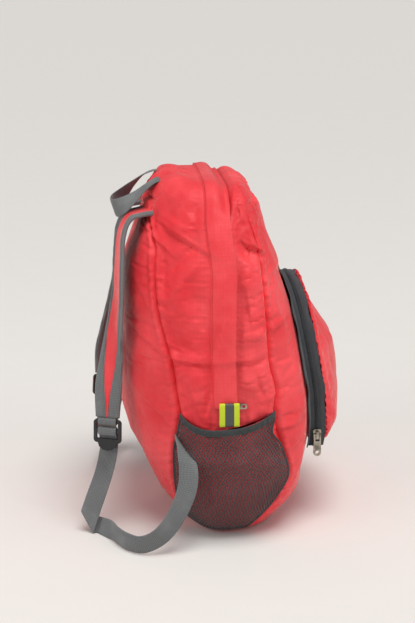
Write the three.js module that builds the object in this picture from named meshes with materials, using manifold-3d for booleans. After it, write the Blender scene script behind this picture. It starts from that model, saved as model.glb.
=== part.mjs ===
// A stuffed ripstop-nylon day pack with a front pocket, net side pockets and webbing straps.
// Millimetres, +Z up, the wearer's side at +Y, the front pocket at -Y, the wearer's left at -X.
import * as THREE from "three";
import Module from "manifold-3d";
import { mergeVertices } from "three/addons/utils/BufferGeometryUtils.js";

// Cloth and clearances
const CLOTH = 1.4;
const NET = 1.0;
const WEBBING = 1.3;
const SEAM_HALF_GAP = 0.25;
const ZIP_SLOT_HALF = 2.4;
const GAP = 0.5;
const WELD = 1e-3;
const ARC_SEGMENTS = 3;

// Bag: heights of the levels where panels change
const BASE_EDGE_Z = 3;
const GUSSET_SPLIT_Z = 140;
const TOP_EDGE_Z = 364;
const TOP_CROWN = 19;
const TOP_TILT = 0.13;
const TOP_SQUARENESS = 7;
const BASE_CENTRE_Y = -30;
const TOP_CENTRE_Y = -20;

// Bag profile by height z: half width, reach towards the wearer (back) and to the front,
// the line of greatest width (side), the two seams of the side panel (backSeam, frontSeam) and
// the main zip between them.
const PROFILE = [
  { z: 0, halfWidth: 102, back: 27, front: -66, side: -14, backSeam: 2, frontSeam: -28, zip: -13 },
  { z: 12, halfWidth: 119, back: 40, front: -80, side: -14, backSeam: 22, frontSeam: -39, zip: -13 },
  { z: 28, halfWidth: 130, back: 52, front: -92, side: -13, backSeam: 35, frontSeam: -52, zip: -13 },
  { z: 50, halfWidth: 139, back: 64, front: -103, side: -12, backSeam: 40, frontSeam: -68, zip: -13 },
  { z: 74, halfWidth: 143, back: 76, front: -112, side: -12, backSeam: 43, frontSeam: -80, zip: -13 },
  { z: 107, halfWidth: 145, back: 91, front: -117, side: -11, backSeam: 44, frontSeam: -72, zip: -13 },
  { z: 145, halfWidth: 144, back: 100, front: -116, side: -11, backSeam: 38, frontSeam: -63, zip: -13 },
  { z: 172, halfWidth: 143, back: 102, front: -112, side: -10, backSeam: 42, frontSeam: -65, zip: -12 },
  { z: 200, halfWidth: 142, back: 102, front: -106, side: -9, backSeam: 46, frontSeam: -58, zip: -11 },
  { z: 250, halfWidth: 139, back: 97, front: -92, side: -7, backSeam: 59, frontSeam: -54, zip: -11 },
  { z: 290, halfWidth: 134, back: 90, front: -78, side: -5, backSeam: 63, frontSeam: -51, zip: -12 },
  { z: 320, halfWidth: 127, back: 81, front: -67, side: -4, backSeam: 62, frontSeam: -47, zip: -14 },
  { z: 345, halfWidth: 116, back: 71, front: -57, side: -4, backSeam: 65, frontSeam: -40, zip: -17 },
  { z: 364, halfWidth: 102, back: 64, front: -49, side: -4, backSeam: 57, frontSeam: -34, zip: -20 },
];
const BACK_ROUNDNESS = 2.25;
const FRONT_ROUNDNESS = 3.0;

// Folds and dents of the side panels, seen from the side: ends (y, z), half width and depth.
// A minus depth is a valley. "side" is the wearer's left (-1), right (1) or both (0).
const FOLDS = [
  { side: 0, y1: 40, z1: 196, y2: -52, z2: 192, width: 11, depth: -4.0 },
  { side: 0, y1: 6, z1: 235, y2: 10, z2: 160, width: 9, depth: -4.5 },
  { side: -1, y1: 66, z1: 332, y2: 20, z2: 300, width: 11, depth: -5.0 },
  { side: -1, y1: 58, z1: 300, y2: 12, z2: 270, width: 12, depth: 3.5 },
  { side: 0, y1: -30, z1: 325, y2: -52, z2: 318, width: 10, depth: -5.5 },
  { side: 1, y1: 60, z1: 318, y2: 14, z2: 278, width: 12, depth: -4.5 },
  { side: 1, y1: 52, z1: 250, y2: 10, z2: 225, width: 12, depth: 3.5 },
  { side: 0, y1: -40, z1: 262, y2: -52, z2: 210, width: 9, depth: -3.5 },
  { side: -1, y1: 96, z1: 218, y2: 44, z2: 190, width: 12, depth: -3.5 },
  { side: 1, y1: 94, z1: 170, y2: 46, z2: 205, width: 12, depth: -3.5 },
  { side: 0, y1: 34, z1: 150, y2: -8, z2: 172, width: 10, depth: 3.0 },
];
// Folds grow between these distances from the middle plane
const FOLD_SIDE = { from: 60, to: 105 };

// Grid of the bag: columns in each half panel, ring steps up the side, shares of the caps
const BACK_COLUMNS = 6;
const GUSSET_COLUMNS = 3;
const FRONT_COLUMNS = 6;
const LOWER_STEPS = 6;
const UPPER_STEPS = 14;
const BASE_SHARES = [0.94, 0.6];
const TOP_SHARES = [0.92, 0.78, 0.45];
// Two rim edges with a larger cosine than this between them count as one straight edge
const STRAIGHT_COSINE = 0.98;

// Storm flap over the main zip, and the zip under it
const FLAP_WIDTH = 27;
const FLAP_OFFSET = 4;
const FLAP_LIFT = 3.4;
const ARCH_FIRST_STEP = 1;
const FOLD_FREE = { from: 17, to: 25 };
const ARCH_TOP_REACH = 0.92;
const ARCH_SHARES = [-0.5, 0, 0.5];
const ZIP_TAPE_WIDTH = 20;
const ZIP_TAPE_LIFT = -4.3;
const ARCH_TOP_STEPS = 11;

// Reflective tab at each end of the main zip
const TAB = { width: 21, bottomZ: 140, topZ: 163, lift: 4.2, bend: 2.2, ribbon: 0.9, y: -13 };

// Pull of the main zip, lying under the tab with its end showing
const MAIN_PULL = { length: 15, width: 6, thick: 1.1, corner: 2.4, y: -25, z: 158, lift: 0.4 };
const MAIN_PULL_HOLE = { from: 2.2, to: 5.6, width: 3, corner: 1.2 };

// Side net pocket and its bound edge
const POCKET_TOP_Z = 145;
const POCKET_DIP = 17;
const POCKET_BOTTOM_Z = 9;
const POCKET_EDGE_LIFT = 1.9;
const POCKET_BULGE = 10;
const POCKET_BASE_BULGE = 0.25;
const POCKET_DIP_SKEW = 0.8;
const POCKET_SIDE_MARGIN = 0.02;
const BINDING_HEIGHT = 6.5;
const BINDING_THICK = 2.0;
const BINDING_STEPS = 12;
const NET_ROWS = 8;
const NET_COLUMNS = 8;

// Front pocket: outline on the front panel, zip wall and dome
const FRONT_POCKET = { halfWidth: 85, bottomZ: 94, springZ: 180, topZ: 269, floorZ: 78 };
const FRONT_ZIP_DEPTH = 17;
const FRONT_ZIP_STATIONS = 28;
const COIL = { width: 5, thick: 1.4, lift: 0.5 };
// Reach of the dome in front of the front panel at its middle, by height
const DOME = [
  { z: 78, reach: 2 },
  { z: 85, reach: 14 },
  { z: 94, reach: 24 },
  { z: 108, reach: 28 },
  { z: 125, reach: 32 },
  { z: 150, reach: 35 },
  { z: 172, reach: 36 },
  { z: 200, reach: 35 },
  { z: 226, reach: 27 },
  { z: 250, reach: 19 },
  { z: 268, reach: 13 },
];
const DOME_LEAD = 6;
const DOME_TOP_GAP = 1.2;
const DOME_FALL = 2.2;
const DOME_ROW_EASE = 1.1;
const DOME_SEAM = 1;
const DOME_ROWS = 13;
const DOME_COLUMNS = 12;

// Slider and pull of the front pocket zip, on the wearer's left
const SLIDER = { width: 9, height: 12, thick: 4, corner: 2, z: 104 };
const BRIDGE = { rise: 4.2, width: 3, span: 8, wire: 1.2, corner: 0.6 };
const PULL = { length: 25, topWidth: 8, width: 9, thick: 1.5, hole: 4.4 };
const PULL_WINDOW = { length: 6.5, bar: 1.6, corner: 0.8 };
const HINGE_RISE = 1.5;

// Grab handle: one row per station from the left end to the right end, with the direction
// across the webbing. It lies flat at its ends and stands on edge at the end of the loop.
const HANDLE_WIDTH = 20;
const HANDLE = [
  { x: -30, y: 54, z: 383, wx: 1, wy: 0, wz: 0.1 },
  { x: -31, y: 66, z: 377, wx: 1, wy: 0.05, wz: 0.12 },
  { x: -28, y: 79, z: 368, wx: 0.92, wy: 0.15, wz: 0.35 },
  { x: -21, y: 92, z: 360, wx: 0.6, wy: 0.3, wz: 0.72 },
  { x: -11, y: 101, z: 357, wx: 0.2, wy: 0.34, wz: 0.92 },
  { x: 0, y: 103, z: 357, wx: 0, wy: 0.3, wz: 0.95 },
  { x: 11, y: 101, z: 360, wx: -0.2, wy: 0.32, wz: 0.93 },
  { x: 20, y: 92, z: 365, wx: -0.55, wy: 0.3, wz: 0.78 },
  { x: 27, y: 79, z: 373, wx: -0.9, wy: 0.15, wz: 0.38 },
  { x: 30, y: 66, z: 380, wx: -1, wy: 0.05, wz: 0.14 },
  { x: 30, y: 54, z: 384, wx: -1, wy: 0, wz: 0.1 },
];
const HANDLE_STEPS = 3;

// Shoulder strap: centre line (x outwards), width, turn of the face and cup across it. The right
// strap lies closer to the bag between its ends and is turned a little.
const STRAP_THICK = 4;
const EDGE_TAPE = 5;
const EDGE_TAPE_THICK = 5.4;
const STRAP = [
  { x: 39, y: 74, z: 349, width: 44, turn: -2, cup: 1 },
  { x: 41, y: 85, z: 346, width: 46, turn: -3, cup: 2 },
  { x: 43, y: 95, z: 338, width: 48, turn: -5, cup: 3 },
  { x: 47, y: 100.5, z: 325, width: 49, turn: -5, cup: 3 },
  { x: 53, y: 102.5, z: 300, width: 50, turn: -2, cup: 2 },
  { x: 61, y: 103, z: 264, width: 49, turn: 2, cup: 2 },
  { x: 70, y: 106, z: 226, width: 45, turn: 14, cup: 3 },
  { x: 75, y: 110, z: 192, width: 37, turn: 38, cup: 2 },
  { x: 81, y: 113.5, z: 159, width: 33, turn: 60, cup: 1 },
  { x: 84, y: 114.5, z: 129, width: 28, turn: 68, cup: 0 },
];
const RIGHT_STRAP_EASE = { closer: 3, turn: 3 };
const STRAP_STEPS = 20;
const STRAP_ACROSS = 4;

// Ladder-lock buckle: plate outline and its slots, measured down from the strap's end
const LOCK = { width: 32, top: 2.6, bottom: 29, thick: 3, corner: 4, tabWidth: 22, tabLength: 9 };
const LOCK_SLOT_CORNER = 1;
const LOCK_SLOTS = [
  { from: 6.4, to: 13.4 },
  { from: 17.4, to: 24.4 },
];
const LOCK_SLOT_WIDTH = 25;
const WEBBING_WIDTH = 21;

// Loop of the strap's end round the top bar: steps down the buckle (down) and out from it (out)
const END_LOOP = [
  { down: 0.9, out: 1.6 },
  { down: 2.2, out: 2.6 },
  { down: 6.6, out: 2.7 },
  { down: 8.2, out: 1.6 },
  { down: 8.5, out: 0 },
  { down: 8.2, out: -1.6 },
  { down: 6.6, out: -2.7 },
  { down: 2.2, out: -2.6 },
  { down: 0.9, out: -1.6 },
];
const END_LOOP_STEPS = 24;

// Lower webbing through the buckle: its hidden tail, the turn over the middle bar, the way out
const LOCK_THREAD = [
  { down: 35, out: -2.6 },
  { down: 27, out: -2.6 },
  { down: 22, out: -2.2 },
  { down: 20, out: 0 },
  { down: 18.8, out: 2.3 },
  { down: 15.4, out: 2.8 },
  { down: 12.6, out: 2.2 },
  { down: 11.4, out: 0 },
  { down: 11.8, out: -2.6 },
  { down: 15, out: -4.6 },
  { down: 22, out: -4.9 },
  { down: 36, out: -4.9 },
];

// Lower webbing from the buckle to the side seam: centre line (x outwards) and the direction
// across the webbing. The left one stands on its edge on the ground, the right one hangs short.
const LEFT_WEBBING_RUN = [
  { x: 81, y: 119, z: 66, wx: -0.35, wy: 0.93, wz: 0.1 },
  { x: 87, y: 129, z: 39, wx: -0.3, wy: 0.93, wz: 0.15 },
  { x: 102, y: 135, z: 17, wx: -0.1, wy: 0.85, wz: 0.4 },
  { x: 118, y: 130, z: 12.6, wx: 0.1, wy: 0.45, wz: 0.9 },
  { x: 134, y: 118, z: 11.6, wx: 0.05, wy: 0.1, wz: 1 },
  { x: 152, y: 103, z: 11.4, wx: 0, wy: 0, wz: 1 },
  { x: 164, y: 84, z: 12.5, wx: 0.05, wy: 0.2, wz: 1 },
  { x: 168, y: 62, z: 23, wx: 0.1, wy: 0.6, wz: 0.8 },
  { x: 166, y: 43, z: 48, wx: 0.1, wy: 0.85, wz: 0.5 },
  { x: 160, y: 33, z: 78, wx: 0, wy: 1, wz: 0.1 },
  { x: 153, y: 36, z: 102, wx: 0.1, wy: 0.85, wz: -0.5 },
  { x: 147, y: 46, z: 117, wx: 0.1, wy: 0.55, wz: -0.8 },
];
const RIGHT_WEBBING_RUN = [
  { x: 82, y: 117, z: 68, wx: -0.4, wy: 0.9, wz: 0 },
  { x: 94, y: 119, z: 50, wx: -0.3, wy: 0.92, wz: 0 },
  { x: 112, y: 115, z: 42, wx: 0, wy: 1, wz: 0 },
  { x: 130, y: 110, z: 50, wx: 0.2, wy: 0.95, wz: 0 },
  { x: 147, y: 102, z: 72, wx: 0.5, wy: 0.8, wz: -0.2 },
  { x: 157, y: 86, z: 93, wx: 0.5, wy: 0.6, wz: -0.6 },
  { x: 157, y: 66, z: 106, wx: 0.3, wy: 0.5, wz: -0.8 },
  { x: 148, y: 48, z: 116, wx: 0.1, wy: 0.5, wz: -0.86 },
];
const WEBBING_STEPS = 2;

// Colours and finishes
const MATERIALS = {
  cloth: { color: 0xe8434c, roughness: 0.55, metalness: 0 },
  webbing: { color: 0x6e7072, roughness: 0.85, metalness: 0 },
  tape: { color: 0x4b5054, roughness: 0.9, metalness: 0 },
  net: { color: 0x33282a, roughness: 0.9, metalness: 0 },
  plastic: { color: 0x1c1c1e, roughness: 0.5, metalness: 0 },
  reflector: { color: 0xc9dd28, roughness: 0.4, metalness: 0 },
  metal: { color: 0x96897a, roughness: 0.35, metalness: 1 },
};

// Smooth value of a table's column at a height
function columnAt(rows, key, z) {
  const last = rows.length - 1;
  const at = THREE.MathUtils.clamp(z, rows[0].z, rows[last].z);
  let low = 0;
  while (low < last - 1 && rows[low + 1].z <= at) {
    low += 1;
  }
  const slope = (k) => {
    const a = rows[Math.max(k - 1, 0)];
    const b = rows[Math.min(k + 1, last)];
    return (b[key] - a[key]) / (b.z - a.z);
  };
  const span = rows[low + 1].z - rows[low].z;
  const t = (at - rows[low].z) / span;
  const t2 = t * t;
  const t3 = t2 * t;
  return (
    (2 * t3 - 3 * t2 + 1) * rows[low][key] +
    (t3 - 2 * t2 + t) * span * slope(low) +
    (3 * t2 - 2 * t3) * rows[low + 1][key] +
    (t3 - t2) * span * slope(low + 1)
  );
}

const profileAt = (key, z) => columnAt(PROFILE, key, z);

function signedPower(value, power) {
  return Math.sign(value) * Math.abs(value) ** power;
}

// Angle round the bag, from the middle of the back, at which a level has this y on the left side
function angleAt(y, z) {
  const side = profileAt("side", z);
  const reach = y > side ? profileAt("back", z) - side : side - profileAt("front", z);
  const roundness = y > side ? BACK_ROUNDNESS : FRONT_ROUNDNESS;
  return Math.acos(THREE.MathUtils.clamp(signedPower((y - side) / reach, roundness / 2), -1, 1));
}

function smoothBag(angle, z) {
  const side = profileAt("side", z);
  const c = Math.cos(angle);
  const reach = c > 0 ? profileAt("back", z) - side : side - profileAt("front", z);
  const roundness = c > 0 ? BACK_ROUNDNESS : FRONT_ROUNDNESS;
  const x = -profileAt("halfWidth", z) * signedPower(Math.sin(angle), 2 / roundness);
  return new THREE.Vector3(x, side + reach * signedPower(c, 2 / roundness), z);
}

function smoothNormal(angle, z) {
  const dAngle = 0.01;
  const dHeight = 1;
  const round = smoothBag(angle + dAngle, z).sub(smoothBag(angle - dAngle, z));
  const up = smoothBag(angle, z + dHeight).sub(smoothBag(angle, z - dHeight));
  const normal = round.cross(up).normalize();
  const outward = new THREE.Vector3(Math.sin(angle) * -1, Math.cos(angle), 0);
  return normal.dot(outward) < 0 ? normal.negate() : normal;
}

// Depth of the folds at a point of the bag's side
function foldDepth(point) {
  let depth = 0;
  for (const fold of FOLDS) {
    if (fold.side !== 0 && Math.sign(point.x) !== fold.side) {
      continue;
    }
    const start = new THREE.Vector3(0, fold.y1, fold.z1);
    const line = new THREE.Line3(start, new THREE.Vector3(0, fold.y2, fold.z2));
    const seen = new THREE.Vector3(0, point.y, point.z);
    const near = line.closestPointToPoint(seen, true, new THREE.Vector3());
    const offZip = Math.abs(point.y - profileAt("zip", point.z) - FLAP_OFFSET);
    const inside = THREE.MathUtils.smoothstep(Math.abs(point.x), FOLD_SIDE.from, FOLD_SIDE.to)
      * THREE.MathUtils.smoothstep(offZip, FOLD_FREE.from, FOLD_FREE.to);
    depth += inside * fold.depth * Math.exp(-((near.distanceTo(seen) / fold.width) ** 2));
  }
  return depth;
}

function bagPoint(angle, z) {
  const point = smoothBag(angle, z);
  return point.addScaledVector(smoothNormal(angle, z), foldDepth(point));
}

// Angle of one of the bag's grid columns at a height; columns follow the seams and the zip
const HALF_COLUMNS = BACK_COLUMNS + 2 * GUSSET_COLUMNS + FRONT_COLUMNS;
const ALL_COLUMNS = 2 * HALF_COLUMNS;
const SEAM_COLUMN = BACK_COLUMNS;
const ZIP_COLUMN = BACK_COLUMNS + GUSSET_COLUMNS;
const FRONT_COLUMN = BACK_COLUMNS + 2 * GUSSET_COLUMNS;

function columnAngle(column, z) {
  const wrapped = ((column % ALL_COLUMNS) + ALL_COLUMNS) % ALL_COLUMNS;
  const left = wrapped <= HALF_COLUMNS;
  const step = left ? wrapped : ALL_COLUMNS - wrapped;
  const stops = [
    { at: 0, angle: 0 },
    { at: SEAM_COLUMN, angle: angleAt(profileAt("backSeam", z), z) },
    { at: ZIP_COLUMN, angle: angleAt(profileAt("zip", z), z) },
    { at: FRONT_COLUMN, angle: angleAt(profileAt("frontSeam", z), z) },
    { at: HALF_COLUMNS, angle: Math.PI },
  ];
  let k = 0;
  while (step > stops[k + 1].at) {
    k += 1;
  }
  const share = (step - stops[k].at) / (stops[k + 1].at - stops[k].at);
  const angle = THREE.MathUtils.lerp(stops[k].angle, stops[k + 1].angle, share);
  return left ? angle : 2 * Math.PI - angle;
}

// Rings of the bag from the middle of the base to the middle of the top
function bagRings() {
  const rings = [{ kind: "base", share: 0 }];
  for (const share of [...BASE_SHARES].reverse()) {
    rings.push({ kind: "base", share });
  }
  for (let k = 0; k <= LOWER_STEPS; k += 1) {
    rings.push({ kind: "side", z: THREE.MathUtils.lerp(BASE_EDGE_Z, GUSSET_SPLIT_Z, k / LOWER_STEPS) });
  }
  for (let k = 1; k <= UPPER_STEPS; k += 1) {
    rings.push({ kind: "side", z: THREE.MathUtils.lerp(GUSSET_SPLIT_Z, TOP_EDGE_Z, k / UPPER_STEPS) });
  }
  for (const share of TOP_SHARES) {
    rings.push({ kind: "top", share });
  }
  rings.push({ kind: "top", share: 0 });
  return rings;
}

const RINGS = bagRings();
const FIRST_SIDE = BASE_SHARES.length + 1;
const SPLIT_RING = FIRST_SIDE + LOWER_STEPS;
const LAST_SIDE = SPLIT_RING + UPPER_STEPS;

// Rise of the domed top over its edge: share 1 is the edge and share 0 the middle
function topRise(share, y) {
  return (TOP_CROWN + TOP_TILT * (y - TOP_CENTRE_Y)) * (1 - share ** TOP_SQUARENESS);
}

// A point of the domed top
function topPoint(column, share) {
  const edge = bagPoint(columnAngle(column, TOP_EDGE_Z), TOP_EDGE_Z);
  const y = THREE.MathUtils.lerp(TOP_CENTRE_Y, edge.y, share);
  return new THREE.Vector3(edge.x * share, y, TOP_EDGE_Z + topRise(share, y));
}

function gridPoint(ring, column) {
  const { kind, share, z } = RINGS[ring];
  if (kind === "side") {
    return bagPoint(columnAngle(column, z), z);
  }
  if (kind === "top") {
    return topPoint(column, share);
  }
  const edge = bagPoint(columnAngle(column, BASE_EDGE_Z), BASE_EDGE_Z);
  return new THREE.Vector3(edge.x * share, THREE.MathUtils.lerp(BASE_CENTRE_Y, edge.y, share), 0);
}

// One key for all grid points that are the same point of the bag
function gridKey(ring, column) {
  if (RINGS[ring].share === 0) {
    return `${ring}`;
  }
  return `${ring},${((column % ALL_COLUMNS) + ALL_COLUMNS) % ALL_COLUMNS}`;
}

// A closed body from points and triangles, turned to face out
function closedBody(points, triangles) {
  let volume = 0;
  for (const [a, b, c] of triangles) {
    const normal = new THREE.Vector3().crossVectors(points[b], points[c]);
    volume += points[a].dot(normal);
  }
  const index = triangles.flatMap(([a, b, c]) => (volume < 0 ? [a, c, b] : [a, b, c]));
  const geometry = new THREE.BufferGeometry();
  const position = points.flatMap((p) => [p.x, p.y, p.z]);
  geometry.setAttribute("position", new THREE.Float32BufferAttribute(position, 3));
  geometry.setIndex(index);
  geometry.computeVertexNormals();
  return geometry;
}

// A wall between an outer and an inner skin with the same triangles, closed along its rim
function wall(outer, inner, triangles) {
  const count = outer.length;
  const faces = [];
  const rim = new Map();
  for (const [a, b, c] of triangles) {
    faces.push([a, b, c]);
    faces.push([a + count, c + count, b + count]);
    for (const [from, to] of [[a, b], [b, c], [c, a]]) {
      if (!rim.delete(`${to},${from}`)) {
        rim.set(`${from},${to}`, [from, to]);
      }
    }
  }
  for (const [from, to] of rim.values()) {
    faces.push([to, from, from + count]);
    faces.push([to, from + count, to + count]);
  }
  return closedBody([...outer, ...inner], faces);
}

// Triangles of a plain grid of rows and columns
function gridTriangles(rows, columns) {
  const triangles = [];
  for (let r = 0; r + 1 < rows; r += 1) {
    for (let c = 0; c + 1 < columns; c += 1) {
      const at = r * columns + c;
      triangles.push([at, at + 1, at + columns + 1]);
      triangles.push([at, at + columns + 1, at + columns]);
    }
  }
  return triangles;
}

// Panels of the bag: every grid cell belongs to one panel
function panelOf(ring, column) {
  const step = column < HALF_COLUMNS ? column : ALL_COLUMNS - 1 - column;
  if (ring < FIRST_SIDE) {
    return "base_gusset";
  }
  if (ring >= LAST_SIDE) {
    return step < ZIP_COLUMN ? "zip_gusset_back" : "zip_gusset_front";
  }
  if (step < SEAM_COLUMN) {
    return "back_panel";
  }
  if (step >= FRONT_COLUMN) {
    return "front_panel";
  }
  if (ring < SPLIT_RING) {
    return "base_gusset";
  }
  return step < ZIP_COLUMN ? "zip_gusset_back" : "zip_gusset_front";
}

function bagPanels() {
  const points = new Map();
  const normals = new Map();
  const cells = [];
  for (let ring = 0; ring + 1 < RINGS.length; ring += 1) {
    for (let column = 0; column < ALL_COLUMNS; column += 1) {
      const corners = [[ring, column], [ring, column + 1], [ring + 1, column + 1], [ring + 1, column]];
      const keys = corners.map(([r, c]) => {
        const key = gridKey(r, c);
        if (!points.has(key)) {
          points.set(key, gridPoint(r, c));
          normals.set(key, new THREE.Vector3());
        }
        return key;
      });
      const triangles = [];
      if (keys[0] !== keys[1]) {
        triangles.push([keys[0], keys[1], keys[2]]);
      }
      if (keys[2] !== keys[3]) {
        triangles.push([keys[0], keys[2], keys[3]]);
      }
      cells.push({ panel: panelOf(ring, column), triangles });
    }
  }
  for (const { triangles } of cells) {
    for (const keys of triangles) {
      const [a, b, c] = keys.map((key) => points.get(key));
      const face = b.clone().sub(a).cross(c.clone().sub(a));
      keys.forEach((key) => normals.get(key).add(face));
    }
  }
  const middle = new THREE.Vector3(0, TOP_CENTRE_Y, TOP_EDGE_Z / 2);
  const sample = gridKey(SPLIT_RING, ZIP_COLUMN);
  const turn = normals.get(sample).dot(points.get(sample).clone().sub(middle)) < 0 ? -1 : 1;
  normals.forEach((normal) => normal.normalize().multiplyScalar(turn));

  const zipKeys = new Set();
  for (let ring = SPLIT_RING; ring < RINGS.length; ring += 1) {
    zipKeys.add(gridKey(ring, ZIP_COLUMN));
    zipKeys.add(gridKey(ring, -ZIP_COLUMN));
  }
  const geometries = {};
  for (const name of new Set(cells.map((cell) => cell.panel))) {
    const own = cells.filter((cell) => cell.panel === name);
    geometries[name] = panelWall(own, points, normals, turn, zipKeys);
  }
  return geometries;
}

// How far a rim point moves in the surface so that it clears both of its rim edges
function rimShift(rims) {
  const [first, second] = [rims[0], rims.at(-1)];
  const cosine = first.into.dot(second.into);
  if (cosine > STRAIGHT_COSINE) {
    return first.into.clone().multiplyScalar(Math.max(first.gap, second.gap));
  }
  const spread = 1 - cosine * cosine;
  const a = (first.gap - cosine * second.gap) / spread;
  const b = (second.gap - cosine * first.gap) / spread;
  return first.into.clone().multiplyScalar(a).addScaledVector(second.into, b);
}

// One panel's wall, drawn back a little along its seams and further along the zip
function panelWall(cells, points, normals, winding, zipKeys) {
  const order = new Map();
  const triangles = [];
  const edges = new Map();
  for (const cell of cells) {
    for (const keys of cell.triangles) {
      keys.forEach((key, k) => {
        if (!order.has(key)) {
          order.set(key, order.size);
        }
        const next = keys[(k + 1) % 3];
        if (!edges.delete(`${next}|${key}`)) {
          edges.set(`${key}|${next}`, [key, next]);
        }
      });
      triangles.push(keys.map((key) => order.get(key)));
    }
  }
  const rims = new Map();
  for (const [from, to] of edges.values()) {
    const step = points.get(to).clone().sub(points.get(from)).normalize();
    const gap = zipKeys.has(from) && zipKeys.has(to) ? ZIP_SLOT_HALF : SEAM_HALF_GAP;
    for (const key of [from, to]) {
      const into = new THREE.Vector3().crossVectors(normals.get(key), step);
      into.multiplyScalar(winding).normalize();
      rims.set(key, [...(rims.get(key) ?? []), { into, gap }]);
    }
  }
  const outer = [];
  const inner = [];
  for (const key of order.keys()) {
    const point = points.get(key).clone();
    if (rims.has(key)) {
      point.add(rimShift(rims.get(key)));
    }
    point.z = Math.max(point.z, 0);
    outer.push(point);
    inner.push(point.clone().addScaledVector(normals.get(key), -CLOTH));
  }
  return wall(outer, inner, triangles);
}

// Axes of a strip at one of its stations
function stripFrame(stations, k) {
  const before = stations[Math.max(k - 1, 0)].centre;
  const after = stations[Math.min(k + 1, stations.length - 1)].centre;
  const along = after.clone().sub(before).normalize();
  const across = stations[k].across.clone();
  across.addScaledVector(along, -across.dot(along)).normalize();
  return { along, across, face: new THREE.Vector3().crossVectors(along, across) };
}

// A flat strip along stations with a centre, a direction across and a width
function ribbon(stations, thick) {
  const outer = [];
  const inner = [];
  stations.forEach((station, k) => {
    const { across, face } = stripFrame(stations, k);
    for (const share of [-0.5, 0.5]) {
      const middle = station.centre.clone().addScaledVector(across, share * station.width);
      outer.push(middle.clone().addScaledVector(face, thick / 2));
      inner.push(middle.clone().addScaledVector(face, -thick / 2));
    }
  });
  return wall(outer, inner, gridTriangles(stations.length, 2));
}

// Stations along a table of centres and across directions, with some steps to each row
function stationsFrom(rows, stepsPerRow, width, mirror) {
  const centres = new THREE.CatmullRomCurve3(rows.map((r) => new THREE.Vector3(mirror * r.x, r.y, r.z)));
  const across = new THREE.CatmullRomCurve3(rows.map((r) => new THREE.Vector3(mirror * r.wx, r.wy, r.wz)));
  const steps = stepsPerRow * (rows.length - 1);
  const stations = [];
  for (let k = 0; k <= steps; k += 1) {
    const t = k / steps;
    stations.push({ centre: centres.getPoint(t), across: across.getPoint(t).normalize(), width });
  }
  return stations;
}

// A point over the side panel: w from the back seam (0) to the front seam (1)
function sidePoint(w, z, lift, mirror) {
  const from = angleAt(profileAt("backSeam", z), z);
  const to = angleAt(profileAt("frontSeam", z), z);
  const angle = THREE.MathUtils.lerp(from, to, w);
  const point = bagPoint(angle, z).addScaledVector(smoothNormal(angle, z), lift);
  point.x *= -mirror;
  return point;
}

// A point over the side panel at a given y
function sidePointAtY(y, z, lift, mirror) {
  const angle = angleAt(y, z);
  const point = bagPoint(angle, z).addScaledVector(smoothNormal(angle, z), lift);
  point.x *= -mirror;
  return point;
}

// Height of the domed top at a place seen from above
function topHeight(x, y) {
  let share = 0;
  for (let column = 0; column < ALL_COLUMNS; column += 1) {
    const a = topPoint(column, 1);
    const b = topPoint(column + 1, 1);
    const outX = b.y - a.y;
    const outY = a.x - b.x;
    const edge = outX * a.x + outY * (a.y - TOP_CENTRE_Y);
    share = Math.max(share, (outX * x + outY * (y - TOP_CENTRE_Y)) / edge);
  }
  return TOP_EDGE_Z + topRise(share, y);
}

function overTop(x, y, lift) {
  const step = 0.5;
  const slopeX = (topHeight(x + step, y) - topHeight(x - step, y)) / (2 * step);
  const slopeY = (topHeight(x, y + step) - topHeight(x, y - step)) / (2 * step);
  const normal = new THREE.Vector3(-slopeX, -slopeY, 1).normalize();
  return new THREE.Vector3(x, y, topHeight(x, y)).addScaledVector(normal, lift);
}

// A strip that follows the main zip up one side, over the top and down the other
function archStrip(offset, width, lift, thick) {
  const rows = [];
  const addSide = (z, mirror) => {
    const place = (share, rise) => {
      return sidePointAtY(profileAt("zip", z) + offset + share * width, z, rise, mirror);
    };
    rows.push(ARCH_SHARES.map((share) => [place(share, lift), place(share, lift - thick)]));
  };
  const heights = [];
  for (let k = ARCH_FIRST_STEP; k <= UPPER_STEPS; k += 1) {
    heights.push(THREE.MathUtils.lerp(GUSSET_SPLIT_Z, TOP_EDGE_Z, k / UPPER_STEPS));
  }
  heights.forEach((z) => addSide(z, -1));
  const reach = ARCH_TOP_REACH * Math.abs(sidePointAtY(TOP_CENTRE_Y, TOP_EDGE_Z, 0, 1).x);
  for (let k = 0; k < ARCH_TOP_STEPS; k += 1) {
    const x = -reach * Math.cos((Math.PI * k) / (ARCH_TOP_STEPS - 1));
    const place = (share, rise) => overTop(x, TOP_CENTRE_Y + offset + share * width, rise);
    rows.push(ARCH_SHARES.map((share) => [place(share, lift), place(share, lift - thick)]));
  }
  heights.reverse().forEach((z) => addSide(z, 1));
  const pairs = rows.flat();
  const triangles = gridTriangles(rows.length, ARCH_SHARES.length);
  return wall(pairs.map((pair) => pair[0]), pairs.map((pair) => pair[1]), triangles);
}

// Side net pocket: lift of the net over the side panel, and its upper edge
function netLift(w, rise) {
  const bulge = POCKET_BULGE * THREE.MathUtils.lerp(POCKET_BASE_BULGE, 1, rise);
  return POCKET_EDGE_LIFT + bulge * 4 * w * (1 - w);
}

function pocketTop(w) {
  return POCKET_TOP_Z - POCKET_DIP * Math.sin(Math.PI * w ** POCKET_DIP_SKEW);
}

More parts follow.
